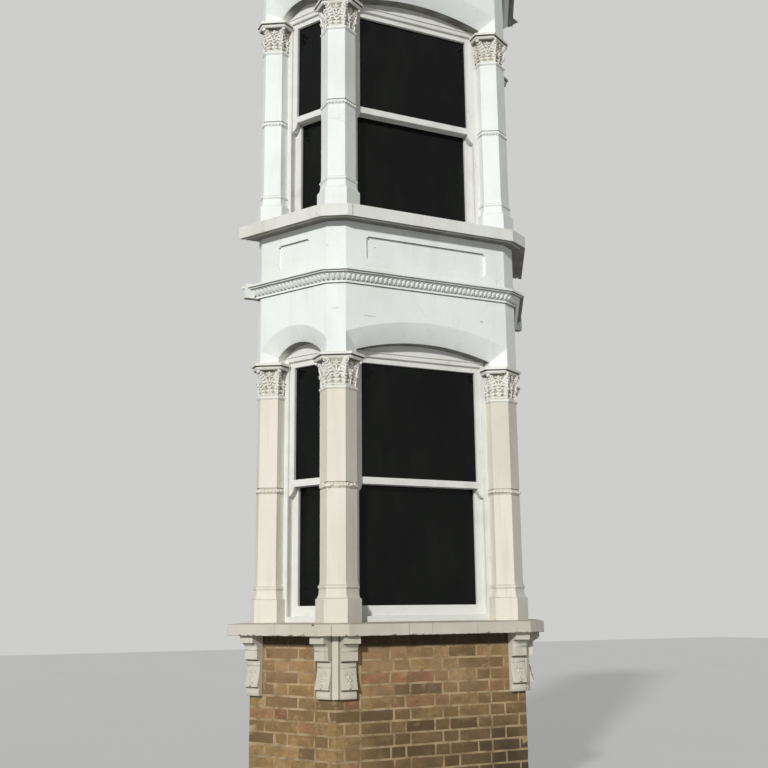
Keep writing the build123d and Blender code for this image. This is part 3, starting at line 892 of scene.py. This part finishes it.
@dataclass
class BrickBase:
    """The base, one brick thick in Flemish bond, with a brick that turns each arris."""

    plan: Plan
    set_back: float = 0.02
    thickness: float = 0.215
    course: float = 0.075
    joint: float = 0.011
    stretcher: float = 0.215
    header: float = 0.1025
    short_return: float = 0.053
    long_return: float = 0.158
    recess: float = 0.0025
    roughness: float = 0.0016
    seed: int = 11

    def spans(self, length: float, first_long: bool) -> list[tuple[float, float]]:
        """Fill a stretch with stretchers and headers in turn.

        Args:
            length: Length to fill.
            first_long: Whether a stretcher comes first.

        Returns:
            Start and end of each brick.
        """
        best: list[float] = []
        widths: list[float] = []
        while sum(widths) + self.joint * (len(widths) - 1) < length + self.stretcher:
            widths.append(self.stretcher if (len(widths) % 2 == 0) == first_long else self.header)
            total = sum(widths) + self.joint * (len(widths) - 1)
            if not best or abs(total - length) < abs(sum(best) + self.joint * (len(best) - 1) - length):
                best = list(widths)
        share = (length - self.joint * (len(best) - 1)) / sum(best)
        spans, place = [], 0.0
        for width in best:
            spans.append((place, place + width * share))
            place += width * share + self.joint
        return spans

    def skin(self, piece: Piece, rng: random.Random, out: float, high: float, low: float) -> None:
        """Lay one skin of bricks.

        Args:
            piece: Piece that takes the bricks.
            rng: Source of the bricks' unevenness.
            out: Outline that the bricks are set out on.
            high: Outer side of the bricks, measured out from that outline.
            low: Their inner side.
        """
        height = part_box("brick_base")[1].z
        corners = self.plan.plain_outline(out)
        outer, inner = self.plan.plain_outline(out + high), self.plan.plain_outline(out + low)
        runs = self.plan.runs(corners)
        for number in range(round(height / self.course)):
            odd = number % 2 == 1
            foot, top = number * self.course + self.joint / 2, (number + 1) * self.course - self.joint / 2
            returns = self.short_return, self.long_return
            on_front, on_cant = returns[::-1] if odd else returns
            left, front, right = runs
            for index, before, after, reach, ahead in (
                    (1, left, front, on_cant, on_front), (2, front, right, on_front, on_cant)):
                back = before.length - reach
                self.brick(piece, rng, foot, top, [
                    before.at(back, high, 0), outer[index], after.at(ahead, high, 0),
                    after.at(ahead, low, 0), inner[index], before.at(back, low, 0)])
            for index, run, start, end in (
                    (0, left, 0.0, on_cant), (1, front, on_front, on_front), (2, right, on_cant, 0.0)):
                begin = start + self.joint if start else 0.0
                finish = run.length - (end + self.joint if end else 0.0)
                spans = self.spans(finish - begin, first_long=odd)
                for place, (a, b) in enumerate(spans):
                    block = [run.at(begin + a, high, 0), run.at(begin + b, high, 0),
                             run.at(begin + b, low, 0), run.at(begin + a, low, 0)]
                    if index == 0 and place == 0:
                        block[0], block[3] = outer[0], inner[0]
                    if index == 2 and place == len(spans) - 1:
                        block[1], block[2] = outer[3], inner[3]
                    self.brick(piece, rng, foot, top, block)

    def brick(self, piece: Piece, rng: random.Random, foot: float, top: float,
              plan: Sequence[Vector]) -> None:
        """Lay one brick, a little uneven, and never outside its outline.

        Args:
            piece: Piece that takes the brick.
            rng: Source of its unevenness.
            foot: Level of its bed.
            top: Level of its top.
            plan: Its corners.
        """
        middle = sum(plan, Vector()) / len(plan)
        rough = self.roughness

        def uneven(point: Vector, level: float, lift: float) -> Vector:
            """Pull a corner in towards the brick's middle by a small random amount."""
            inward = (middle - point).normalized() * rng.uniform(0, 2 * rough)
            moved = point + inward
            moved.z = level + lift * rng.uniform(0, 1.6 * rough)
            return moved

        piece.rings([[uneven(point, foot, 1) for point in plan], [uneven(point, top, -1) for point in plan]])

    def build(self) -> None:
        """Lay the mortar and both skins."""
        rng = random.Random(self.seed)
        outer, inner = -self.set_back, -self.set_back - self.thickness
        bricks = Piece("base_bricks", Slot.BRICK)
        self.skin(bricks, rng, outer, 0, -self.header)
        self.skin(bricks, rng, inner, self.header, 0)
        bricks.build(Brick().material(), arris=0.0028, replaces=["brick_base"])
        mortar = Piece("base_mortar", Slot.BRICK)
        core = self.plan.plain_outline(outer - self.recess)
        core += self.plan.plain_outline(inner + self.recess)[::-1]
        for index in (0, 3, 4, 7):
            core[index].y -= self.recess
        height = Vector((0, 0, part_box("brick_base")[1].z))
        mortar.rings([core, [point + height for point in core]])
        mortar.build(Mortar().material())


@dataclass
class Levels:
    """One storey's masonry slot, and its heights above its own sill top."""

    name: str
    neck: float
    slot: Slot
    plinth: float = 0.236
    neck_roll: float = 0.028
    mid_band: float = 0.044

    @cached_property
    def sill_top(self) -> float:
        """Level of the sill's top."""
        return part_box(f"{self.name}_left_corner_pier")[0].z

    @property
    def band_foot(self) -> float:
        """Level of the foot of the piers' mid band."""
        return self.sill_top + self.plinth + (self.neck - self.neck_roll - self.plinth - self.mid_band) / 2


STOREYS = (Levels("ground", 1.526, Slot.CREAM_STONE), Levels("upper", 1.38, Slot.PAINTED_STONE))


@dataclass
class PierBands:
    """The row of small beads round each pier's mid band."""

    plan: Plan
    side: float = 0.127
    pitch: float = 0.0242
    bead: Point = (0.0098, 0.011, 0.007)
    worn: tuple[str, ...] = ("ground_left_corner",)
    seed: int = 3

    def build(self) -> None:
        """Thread the beads on every pier's exposed sides."""
        rng = random.Random(self.seed)
        for storey in STOREYS:
            beads = Piece(f"{storey.name}_pier_beads", storey.slot)
            level = storey.band_foot + storey.mid_band / 2
            for name, centre in self.plan.piers().items():
                worn = f"{storey.name}_{name}" in self.worn
                for facet in range(6):
                    angle = math.radians(30 + 60 * facet)
                    out = Vector((math.sin(angle), -math.cos(angle), 0))
                    across = Vector((-out.y, out.x, 0))
                    face = centre + out * (self.side * IN_SHARE)
                    count = round(self.side / self.pitch)
                    for index in range(count):
                        place = face + across * ((index + 0.5) * self.pitch - count * self.pitch / 2)
                        behind = self.plan.depth_behind_faces(place)
                        size = Vector(self.bead)
                        if worn:
                            size = Vector((rng.uniform(0.5, 1.9) * part for part in size))
                            place = place + across * rng.uniform(-0.008, 0.008)
                        if behind < self.plan.frame_face - size.x and place.y < self.plan.wall - size.x:
                            lift = Vector((0, 0, level + (rng.uniform(-0.012, 0.012) if worn else 0)))
                            beads.egg(place + lift, across, UP, tuple(size), 8, 5)
            beads.build((CREAM if storey.name == "ground" else WHITE).material(), smooth=True)


@dataclass
class BeadCourse:
    """The upright egg-shaped beads of the course over the ground storey and of the cornice."""

    plan: Plan
    node: str
    height: float
    reach: float
    pitch: float = 0.0336
    half_width: float = 0.0135
    foot_share: float = 0.16
    top_share: float = 0.7
    top_reach_share: float = 0.62

    def build(self) -> None:
        """Stand the beads on their leaning bed."""
        beads = Piece(f"{self.node}_beads", Slot.PAINTED_STONE)
        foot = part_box(self.node)[0].z + self.foot_share * self.height
        rise = (self.top_share - self.foot_share) * self.height
        lean = self.top_reach_share * self.reach
        half = math.hypot(rise, lean) / 2
        for run in self.plan.runs(self.plan.outline(lean / 2)):
            up = (run.outward * lean + Vector((0, 0, rise))).normalized()
            count = max(1, round(run.length / self.pitch))
            for index in range(count):
                place = run.at((index + 0.5) * run.length / count, 0, foot + rise / 2)
                if place.y < self.plan.wall - 1.6 * self.half_width:
                    beads.egg(place, run.along, up, (self.half_width, half * 0.94, self.half_width * 0.95))
        beads.build(WHITE.material(), smooth=True)


@dataclass(frozen=True)
class Leaf:
    """One carved leaf that climbs a capital's bell and curls out at its tip."""

    low: float
    high: float
    half: float
    lift: float
    curl: float
    lobes: float = 2.5
    droop: float = math.radians(140)
    rib: float = 0.0055
    thickness: float = 0.008
    rows: int = 16
    columns: int = 10

    def spine(self, t: float) -> tuple[float, float, float]:
        """Follow the leaf's middle.

        Args:
            t: Place along the leaf, from 0 at its foot to 1 at its tip.

        Returns:
            Distance out from the bell, height, and how far it has curled over.
        """
        climb = self.high - self.curl - self.low
        bend = climb / (climb + self.curl * self.droop)
        if t < bend:
            return self.lift * t / bend, self.low + climb * t / bend, 0.0
        angle = self.droop * (t - bend) / (1 - bend)
        return (self.lift + self.curl * (1 - math.cos(angle)),
                self.low + climb + self.curl * math.sin(angle), angle)

    def section(self, t: float) -> list[Point]:
        """Find one cross-section, front face first and then the back.

        Args:
            t: Place along the leaf, from 0 at its foot to 1 at its tip.

        Returns:
            Points as distance aside, out from the bell's surface, and height.
        """
        out, height, angle = self.spine(t)
        wave = abs(math.sin(math.pi * self.lobes * t))
        width = self.half * (0.62 + 0.38 * wave) * min(1.0, 0.7 + 1.4 * t) * (1 - 0.75 * t ** 4)
        front, back = [], []
        for index in range(self.columns + 1):
            s = 2 * index / self.columns - 1
            fold = math.cos(2 * math.pi * (self.lobes * t - 0.8 * abs(s)))
            relief = self.rib * (0.7 * fold * abs(s) ** 0.5 + 1.4 * math.exp(-((s / 0.16) ** 2)))
            relief -= 0.22 * self.half * s * s
            for points, rise in ((front, relief), (back, relief - self.thickness * (1.2 - s * s))):
                points.append((s * width, out + rise * math.cos(angle), height - rise * math.sin(angle)))
        return front + back[::-1]


@dataclass(frozen=True)
class Leaflet:
    """One rounded leaflet or petal of the carving, laid on a capital's bell."""

    aside: float
    out: float
    height: float
    opened: float
    size: Point


@dataclass(frozen=True)
class Spray:
    """One carved spray on a capital: a rib with pairs of leaflets, and a tip that curls out."""

    turn: float
    low: float
    high: float
    half: float
    lean: float
    pairs: int
    tip: float = 0.011
    opened_foot: float = math.radians(74)
    opened_top: float = math.radians(24)
    climb: float = 0.8
    leaflet: float = 0.0078
    depth: float = 0.006
    rib: float = 0.0034

    def sheet(self) -> Leaf:
        """Make the thin leaf that the leaflets stand on."""
        return Leaf(
            low=self.low, high=self.high, half=0.8 * self.half, lift=0.6 * self.lean,
            curl=0.7 * self.tip, lobes=self.pairs / 2, rib=0.0015, thickness=0.006, rows=10, columns=6)

    def leaflets(self) -> list[Leaflet]:
        """Set out the rib, the leaflets and the tip."""
        rise = self.high - self.low
        rib = (self.rib, 0.45 * rise, self.depth + 0.001)
        tip = (1.1 * self.tip, 0.95 * self.tip, 0.8 * self.tip)
        made = [Leaflet(0.0, 0.3 * self.lean, self.low + 0.45 * rise, 0.0, rib),
                Leaflet(0.0, self.lean, self.high - self.tip, 0.0, tip)]
        for pair in range(self.pairs):
            share = pair / (self.pairs - 1)
            opened = self.opened_foot + (self.opened_top - self.opened_foot) * share
            length = self.half * (1 - 0.3 * share)
            height = self.low + self.climb * rise * share + 0.5 * length * math.cos(opened)
            size = (self.leaflet, 0.5 * length, self.depth)
            made += [Leaflet(side * 0.5 * length * math.sin(opened), self.lean * share ** 2,
                             height, side * opened, size) for side in (-1, 1)]
        return made


@dataclass(frozen=True)
class Flower:
    """A small open flower between two stalks, high on a face of a bell."""

    turn: float
    height: float = 0.143
    petals: int = 6
    spread: float = 0.016
    petal: Point = (0.0078, 0.0115, 0.0068)
    boss: Point = (0.007, 0.007, 0.0105)
    stalk: Point = (0.0055, 0.036, 0.0066)
    stalk_aside: float = 0.031
    stalk_height: float = 0.128
    stalk_lean: float = math.radians(34)
    bud: Point = (0.0085, 0.018, 0.0072)
    bud_height: float = 0.103
    bud_asides: tuple[float, ...] = (-0.017, 0.0, 0.017)

    def leaflets(self) -> list[Leaflet]:
        """Set out the petals, the boss, the stalks and the buds below them."""
        made = [Leaflet(0.0, 0.002, self.height, 0.0, self.boss)]
        for index in range(self.petals):
            angle = 2 * math.pi * index / self.petals
            made.append(Leaflet(self.spread * math.sin(angle), 0.001,
                                self.height + self.spread * math.cos(angle), angle, self.petal))
        made += [Leaflet(side * self.stalk_aside, 0.001, self.stalk_height,
                         side * self.stalk_lean, self.stalk) for side in (-1, 1)]
        made += [Leaflet(aside, 0.001, self.bud_height, 20 * aside, self.bud) for aside in self.bud_asides]
        return made


@dataclass
class Capitals:
    """One storey's leafy capitals: two rows of sprays on a bell of six sides under a moulded abacus."""

    plan: Plan
    storey: Levels
    bell: Sequence[tuple[float, float]] = (
        (0.0, 0.108), (0.08, 0.113), (0.13, 0.119), (0.176, 0.13))
    abacus: Sequence[tuple[float, float]] = (
        (0.172, 0.152), (0.177, 0.161), (0.184, 0.168), (0.194, 0.17), (0.195, 0.156), (0.2, 0.156),
        (0.201, 0.176), (0.203, 0.18), (0.22, 0.18), (0.222, 0.177))
    corner_reach: float = 0.023
    front_cut: float = 0.0273
    seed: int = 7

    def carvings(self) -> list[Spray | Flower]:
        """Set out both rows of sprays, and the flowers between the upper ones."""
        corners, faces = range(0, 360, 60), range(30, 390, 60)
        return ([Spray(turn, 0.004, 0.078, 0.034, 0.013, 4) for turn in corners]
                + [Spray(turn, 0.004, 0.088, 0.034, 0.01, 4, tip=0.01) for turn in faces]
                + [Spray(turn, 0.07, 0.178, 0.044, 0.024, 6, tip=0.0125) for turn in corners]
                + [Flower(turn) for turn in faces])

    def side_at(self, height: float) -> float:
        """Find the side of the bare bell's hexagon.

        Args:
            height: Height over the capital's foot.

        Returns:
            The side.
        """
        for (low, first), (high, last) in zip(self.bell, self.bell[1:]):
            if height <= high:
                return first + (last - first) * (height - low) / (high - low)
        return self.bell[-1][1]

    def front_turn(self, centre: Vector) -> float | None:
        """Find the turn of a corner pier's facet that looks out of the bay's corner."""
        if centre.y > self.plan.wall - self.plan.facet:
            return None
        return math.copysign(30.0, centre.x)

    def ring(self, centre: Vector, level: float, side: float, cut: float) -> list[Vector]:
        """Find the points of one plain ring round a capital.

        Args:
            centre: The pier's middle.
            level: Level of the ring.
            side: Side of its hexagon.
            cut: How far it is cut back at a corner pier's front facet.

        Returns:
            The ring's points.
        """
        corners = [self.facing(turn) * side for turn in range(0, 361, 60)]
        front = self.front_turn(centre)
        if front is not None:
            out, across = self.facing(front), self.facing(front + 90)
            reach = side * IN_SHARE - cut
            half = (side * IN_SHARE - reach / 2) / IN_SHARE
            corners = [out * reach + across * math.copysign(half, corner.dot(across))
                       if corner.dot(out) > 0.6 * side else corner for corner in corners]
        return [self.held_back(centre + first.lerp(last, share / 4), centre) + Vector((0, 0, level))
                for first, last in zip(corners, corners[1:]) for share in range(4)]

    @staticmethod
    def facing(turn: float) -> Vector:
        """Point away from the house, turned by an angle in degrees."""
        return Vector((math.sin(math.radians(turn)), -math.cos(math.radians(turn)), 0))

    @property
    def corner_half(self) -> float:
        """Distance from a pier's middle to a side of its shaft."""
        return self.plan.shaft * IN_SHARE

    def on_bell(self, turn: float, aside: float, out: float, height: float) -> Vector:
        """Find a place on the bell, or off it by a distance.

        Args:
            turn: Which corner or face, in degrees.
            aside: Distance along the bell.
            out: Distance off it.
            height: Height over the capital's foot.

        Returns:
            The place, from the middle of the capital's foot.
        """
        side = self.side_at(height)
        bare = side - abs(aside) / math.sqrt(3) if turn % 60 == 0 else side * IN_SHARE
        return self.facing(turn) * (bare + out) + self.facing(turn + 90) * aside + Vector((0, 0, height))

    def carve(self, piece: Piece, foot: Vector, carving: Spray | Flower, rng: random.Random) -> None:
        """Stand one carving on a capital's bell, unless it would only be buried in the wall or a window.

        Args:
            piece: Piece that takes the carving.
            foot: Middle of the capital's foot.
            carving: The spray or the flower.
            rng: Source of the hand's unevenness.
        """
        turn = carving.turn
        spot = foot + self.facing(turn) * self.bell[0][1]
        if spot.y > self.plan.wall or self.plan.depth_behind_faces(spot) > self.plan.frame_face:
            return
        first = len(piece.points)
        if isinstance(carving, Spray) and not self.buried(
                foot + self.on_bell(turn, 0.0, 0.0, carving.high), foot):
            leaf = carving.sheet()
            piece.rings([[foot + self.on_bell(turn, *place) for place in leaf.section(row / leaf.rows)]
                         for row in range(leaf.rows + 1)])
        for leaflet in carving.leaflets():
            aside, height, reach = leaflet.aside, leaflet.height, leaflet.size[1]
            low = self.on_bell(turn, aside - reach * math.sin(leaflet.opened), leaflet.out,
                               height - reach * math.cos(leaflet.opened))
            high = self.on_bell(turn, aside + reach * math.sin(leaflet.opened), leaflet.out,
                                height + reach * math.cos(leaflet.opened))
            bend = math.copysign(30.0, aside) if turn % 60 == 0 and aside else 0.0
            up = (high - low).normalized()
            if self.buried(foot + (low + high) / 2, foot):
                continue
            normal = self.facing(turn + bend)
            across = up.cross(normal).normalized()
            size = [part * rng.uniform(0.85, 1.15) for part in leaflet.size]
            piece.egg(foot + (low + high) / 2, across, up, tuple(size), 10, 6)
        piece.points[first:] = [self.held_back(place, foot) for place in piece.points[first:]]

    def buried(self, place: Vector, centre: Vector, margin: float = 0.004) -> bool:
        """Tell whether a place lies inside a window frame, the house wall or a dressed side."""
        return (self.held_back(place, centre) - place).length > margin

    def held_back(self, place: Vector, centre: Vector) -> Vector:
        """Keep a point off the window frames, the house wall and a corner pier's dressed side.

        Args:
            place: The point.
            centre: Middle of the pier.

        Returns:
            The point, moved if it has to be.
        """
        place = place.copy()
        for run in self.plan.faces:
            behind = (run.start - place).dot(run.outward)
            across = (place - centre).dot(run.along)
            if behind > self.plan.frame_face - 0.001 and abs(across) > self.corner_half:
                near = (centre - (run.start + run.end) / 2).dot(run.along)
                if near * across < 0 and abs(near) < run.length:
                    place -= run.along * (across - math.copysign(self.corner_half, across))
        front = self.front_turn(centre)
        if front is not None:
            over = (place - centre).dot(self.facing(front)) - (self.corner_half + self.corner_reach)
            if over > 0:
                place -= self.facing(front) * over
        place.y = min(place.y, self.plan.wall)
        return place

    def build(self) -> None:
        """Carve the storey's four capitals."""
        rng = random.Random(self.seed)
        piece = Piece(f"{self.storey.name}_capitals", self.storey.slot)
        bells = Piece(f"{self.storey.name}_capital_bells", self.storey.slot)
        foot = Vector((0, 0, self.storey.sill_top + self.storey.neck))
        for centre in self.plan.piers().values():
            for part, profile, cut in ((bells, self.bell, 0.0), (piece, self.abacus, self.front_cut)):
                part.rings([self.ring(centre, foot.z + level, side, cut) for level, side in profile])
            for carving in self.carvings():
                self.carve(piece, centre + foot, carving, rng)
        bells.build(Recess().material())
        nodes = [f"{self.storey.name}_{name}_capital" for name in self.plan.piers()]
        made = piece.build(CAPITAL.material(), smooth=True, replaces=nodes)
        made.data.set_sharp_from_angle(angle=math.radians(45))


@dataclass
class BracketCarving:
    """A worn leaf and a fillet on the long scroll of every bracket."""

    plan: Plan
    set_back: float = 0.02
    width: float = 0.108
    from_arris: float = 0.072
    from_wall: float = 0.0571
    scroll_top: float = 0.163
    scroll_foot: float = 0.322
    top_reach: float = 0.028
    foot_reach: float = 0.058
    hollow: float = 0.009
    block_drop: float = 0.094
    block_reach: float = 0.058
    fillet_drop: float = 0.03
    fillet: Sequence[tuple[float, float]] = ((0.0, -0.004), (0.0, 0.003), (0.006, 0.004), (0.009, -0.004))
    seed: int = 9

    def reach(self, drop: float) -> float:
        """Find how far the scroll stands out.

        Args:
            drop: Depth below the sill.

        Returns:
            The distance.
        """
        share = (drop - self.scroll_top) / (self.scroll_foot - self.scroll_top)
        bow = 4 * self.hollow * share * (1 - share)
        return self.top_reach + (self.foot_reach - self.top_reach) * share - bow

    def places(self) -> list[tuple[Run, float]]:
        """List each bracket's run and its middle along it."""
        left, front, right = self.plan.runs(self.plan.plain_outline(-self.set_back))
        return [(left, self.from_wall), (left, left.length - self.from_arris), (front, self.from_arris),
                (front, front.length - self.from_arris), (right, self.from_arris),
                (right, right.length - self.from_wall)]

    def build(self) -> None:
        """Carve all six brackets."""
        rng = random.Random(self.seed)
        piece = Piece("bracket_carving", Slot.PAINTED_STONE)
        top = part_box("ground_sill")[0].z
        spray = Spray(0.0, 0.225, 0.305, 0.036, 0.003, 3, tip=0.009, leaflet=0.009, depth=0.0065)
        leaf = Leaf(low=0.212, high=0.312, half=0.034, lift=0.004, curl=0.006, rib=0.0045,
                    droop=math.radians(70), thickness=0.006)
        for run, middle in self.places():
            rings = []
            for row in range(leaf.rows + 1):
                rings.append([run.at(middle + aside, self.reach(drop) + out - 0.002, top - drop)
                              for aside, out, drop in leaf.section(row / leaf.rows)])
            piece.rings(rings)
            for leaflet in spray.leaflets():
                drop = leaflet.height
                up = (run.along * math.sin(leaflet.opened)
                      - Vector((0, 0, math.cos(leaflet.opened)))).normalized()
                size = tuple(part * rng.uniform(0.7, 1.2) for part in leaflet.size)
                spot = run.at(middle + leaflet.aside, self.reach(drop) + leaflet.out, top - drop)
                piece.egg(spot, up.cross(run.outward).normalized(), up, size, 8, 5)
            drop = self.scroll_top + self.fillet_drop
            for foot, reach in ((drop, self.reach(drop)), (self.block_drop, self.block_reach)):
                piece.strip([[run.at(middle + side * self.width / 2, reach + out, top - foot + rise)
                              for side in (-1, 1)] for rise, out in self.fillet])
        piece.build(BRACKET.material(), smooth=True)


@dataclass
class Roof:
    """The hipped roof: boarding under lapped slates, lead on the hips and at the wall."""

    plan: Plan
    eaves: float = 0.11
    pitch: float = math.radians(30)
    skin: float = 0.07
    sink: float = 0.021
    gauge: float = 0.2
    slate_width: float = 0.25
    slate_thickness: float = 0.006
    slate_gap: float = 0.0015
    flashing_width: float = 0.09
    flashing: tuple[float, float] = (-0.0035, -0.0005)
    seed: int = 5

    @cached_property
    def foot(self) -> float:
        """Level of the eaves."""
        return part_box("roof")[0].z

    def inward(self, run: Run, place: Vector) -> float:
        """Measure how far inside one run of the eaves a place lies."""
        return (run.start - place).dot(run.outward)

    def clip(self, shape: list[Vector], run: Run, runs: Sequence[Run]) -> list[Vector]:
        """Cut a shape in plan to the part of the roof that drains over one run.

        Args:
            shape: Its corners.
            run: The run that it drains over.
            runs: All the runs.

        Returns:
            The corners that are left.
        """
        rules = [lambda place, other=other: self.inward(other, place) - self.inward(run, place)
                 for other in runs if other is not run]
        rules.append(lambda place: self.plan.wall - 0.0005 - place.y)
        for rule in rules:
            kept: list[Vector] = []
            for index, point in enumerate(shape):
                before = shape[index - 1]
                here, there = rule(point), rule(before)
                if (here >= 0) != (there >= 0):
                    kept.append(before.lerp(point, there / (there - here)))
                if here >= 0:
                    kept.append(point)
            shape = kept
        return shape

    def raised(self, run: Run, shape: Sequence[Vector], lift: float, fall: float = 0.0,
               low: float = 0.0) -> list[Vector]:
        """Put a plan shape on the slope.

        Args:
            run: The run that the slope drains over.
            shape: Corners in plan.
            lift: Height above the finished surface.
            fall: Further lift lost for each metre up the slope.
            low: Distance in from the eaves from which the fall counts.

        Returns:
            The corners on the slope.
        """
        rise = math.tan(self.pitch)
        return [Vector((place.x, place.y, self.foot + self.inward(run, place) * rise + lift
                        - fall * (self.inward(run, place) - low))) for place in shape]

    def deck(self, runs: Sequence[Run]) -> None:
        """Make the boarding, with lead over it that shows at the eaves."""
        piece = Piece("roof_deck", Slot.SLATE)
        drop = 1 / math.cos(self.pitch)
        everything = [run.start for run in runs] + [runs[-1].end]
        for run in runs:
            shape = self.clip(list(everything), run, runs)
            top = self.raised(run, shape, -self.sink * drop)
            foot = [Vector((point.x, point.y, max(self.foot, point.z - (self.skin - self.sink) * drop)))
                    for point in top]
            piece.rings([[Vector((p.x, p.y, min(q.z, p.z - 0.002))) for p, q in zip(top, foot)], top])
        piece.build(Lead("eaves_lead").material(), replaces=["roof"])

    def slates(self, runs: Sequence[Run]) -> None:
        """Lay the slates from the eaves up, each course over the one below."""
        rng = random.Random(self.seed)
        piece = Piece("roof_slates", Slot.SLATE)
        step = self.gauge * math.cos(self.pitch)
        for run in runs:
            for row in range(math.ceil((self.plan.depth + self.eaves) / step)):
                start = -0.5 * self.slate_width * (row % 2) - 4 * self.slate_width
                while start < run.length + 4 * self.slate_width:
                    low, high = row * step, row * step + 2.1 * step
                    near, far = start + self.slate_gap, start + self.slate_width - self.slate_gap
                    shape = [run.at(near, -low - 0.002, 0), run.at(far, -low - 0.002, 0),
                             run.at(far, -high, 0), run.at(near, -high, 0)]
                    shape = self.clip(shape, run, runs)
                    if len(shape) > 2:
                        thick = self.slate_thickness
                        lift = -self.sink / math.cos(self.pitch) + 2.3 * thick + rng.uniform(0, 0.0012)
                        fall = 2.3 * thick / (high - low)
                        piece.rings([self.raised(run, shape, lift, fall, low),
                                     self.raised(run, shape, lift + thick, fall, low)])
                    start += self.slate_width
        piece.build(Slate().material())

    def hips(self) -> None:
        """Dress lead over the hips."""
        piece = Piece("hip_lead", Slot.SLATE)
        closing = (self.plan.facet + 2 * self.eaves * self.plan.slope) / (2 * self.plan.slope)
        last = self.plan.depth + self.eaves - self.flashing_width
        rise = math.tan(self.pitch)
        for index, plain in ((1, 1), (2, 1), (3, 2), (4, 2)):
            legs = [[0.004, closing]] + ([[closing, last]] if index in (2, 3) else [])
            for near, far in legs:
                path = []
                for inward in (near, far):
                    if far > closing:
                        spot = self.plan.plain_outline(self.eaves - inward)[plain]
                    else:
                        spot = self.plan.outline(self.eaves - min(inward, closing - 1e-4))[index]
                    path.append(Vector((spot.x, spot.y, self.foot + inward * rise)))
                self.roll(piece, path[0], path[1])
        piece.build(Lead().material(), smooth=True)

    def wall_lead(self, runs: Sequence[Run]) -> None:
        """Dress lead over the slates where they meet the house wall."""
        piece = Piece("wall_lead", Slot.SLATE)
        first, last = runs[0].start.x, runs[-1].end.x
        near = self.plan.wall - self.flashing_width
        for run in runs:
            shape = [Vector((x, y, 0)) for x, y in (
                (first, near), (last, near), (last, self.plan.wall), (first, self.plan.wall))]
            shape = self.clip(shape, run, runs)
            if len(shape) > 2:
                piece.rings([self.raised(run, shape, lift) for lift in self.flashing])
        piece.build(Lead().material())

    def roll(self, piece: Piece, low: Vector, high: Vector, radius: float = 0.013,
             wing: float = 0.06) -> None:
        """Add one lead roll with a wing down each side.

        Args:
            piece: Piece that takes the roll.
            low: Its lower end.
            high: Its upper end.
            radius: Radius of the roll.
            wing: Width of each wing.
        """
        along = (high - low).normalized()
        across = along.cross(UP).normalized()
        up = across.cross(along)
        profile = [(-wing, -0.022), (-wing, -0.026), (wing, -0.026), (wing, -0.022), (radius, -0.008)]
        profile += [(radius * math.cos(math.radians(angle)), radius * math.sin(math.radians(angle)) - 0.008)
                    for angle in range(20, 180, 20)]
        profile.append((-radius, -0.008))
        piece.rings([[spot + across * x + up * y for x, y in profile] for spot in (low, high)])

    def build(self) -> None:
        """Make the whole roof."""
        runs = self.plan.runs(self.plan.outline(self.eaves))
        self.deck(runs)
        self.slates(runs)
        self.hips()
        self.wall_lead(runs)


class Dress:
    """The finish of every piece that keeps its own shape."""

    arris: float = 0.0022

    def finish_of(self, name: str) -> Paint | Gloss | Glass | Boards:
        """Choose a piece's finish by its name."""
        if name.endswith("glass"):
            return Glass()
        if name.endswith(("frame", "sashes")):
            return TIMBER
        if name.endswith(("floor", "ceiling")):
            return Boards()
        if name.endswith("sill"):
            return GROUND_SILL if name.startswith("ground") else UPPER_SILL
        if "bracket" in name:
            return BRACKET
        if name.startswith("ground") and "pier" in name:
            return CREAM
        return WHITE

    def soften(self, piece: bpy.types.Object) -> None:
        """Round a piece's arrises a little, as paint and weather leave them."""
        piece.modifiers.new("weld", "WELD").merge_threshold = 0.00001
        flat = piece.modifiers.new("flat", "DECIMATE")
        flat.decimate_type = "DISSOLVE"
        flat.angle_limit = math.radians(1)
        bevel = piece.modifiers.new("arris", "BEVEL")
        bevel.width = self.arris
        bevel.segments = 2
        bevel.limit_method = "ANGLE"
        bevel.angle_limit = math.radians(25)

    def build(self) -> None:
        """Dress every piece of the frame that still shows."""
        for name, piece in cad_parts.items():
            if piece.hide_render:
                continue
            finish = self.finish_of(name)
            piece.data.materials.clear()
            piece.data.materials.append(finish.material())
            if not name.endswith("glass"):
                self.soften(piece)
            log.info("%s in %s", name, finish.name)


def main() -> None:
    """Build the studio and the bay in order."""
    Studio().build()
    plan = Plan()
    BrickBase(plan).build()
    PierBands(plan).build()
    BeadCourse(plan, "bead_course", 0.089, 0.075).build()
    BeadCourse(plan, "cornice", 0.11, 0.11).build()
    for storey in STOREYS:
        Capitals(plan, storey).build()
    BracketCarving(plan).build()
    Roof(plan).build()
    Dress().build()


if __name__ == "__main__":
    logging.basicConfig(level=logging.INFO)
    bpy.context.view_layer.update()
    main()
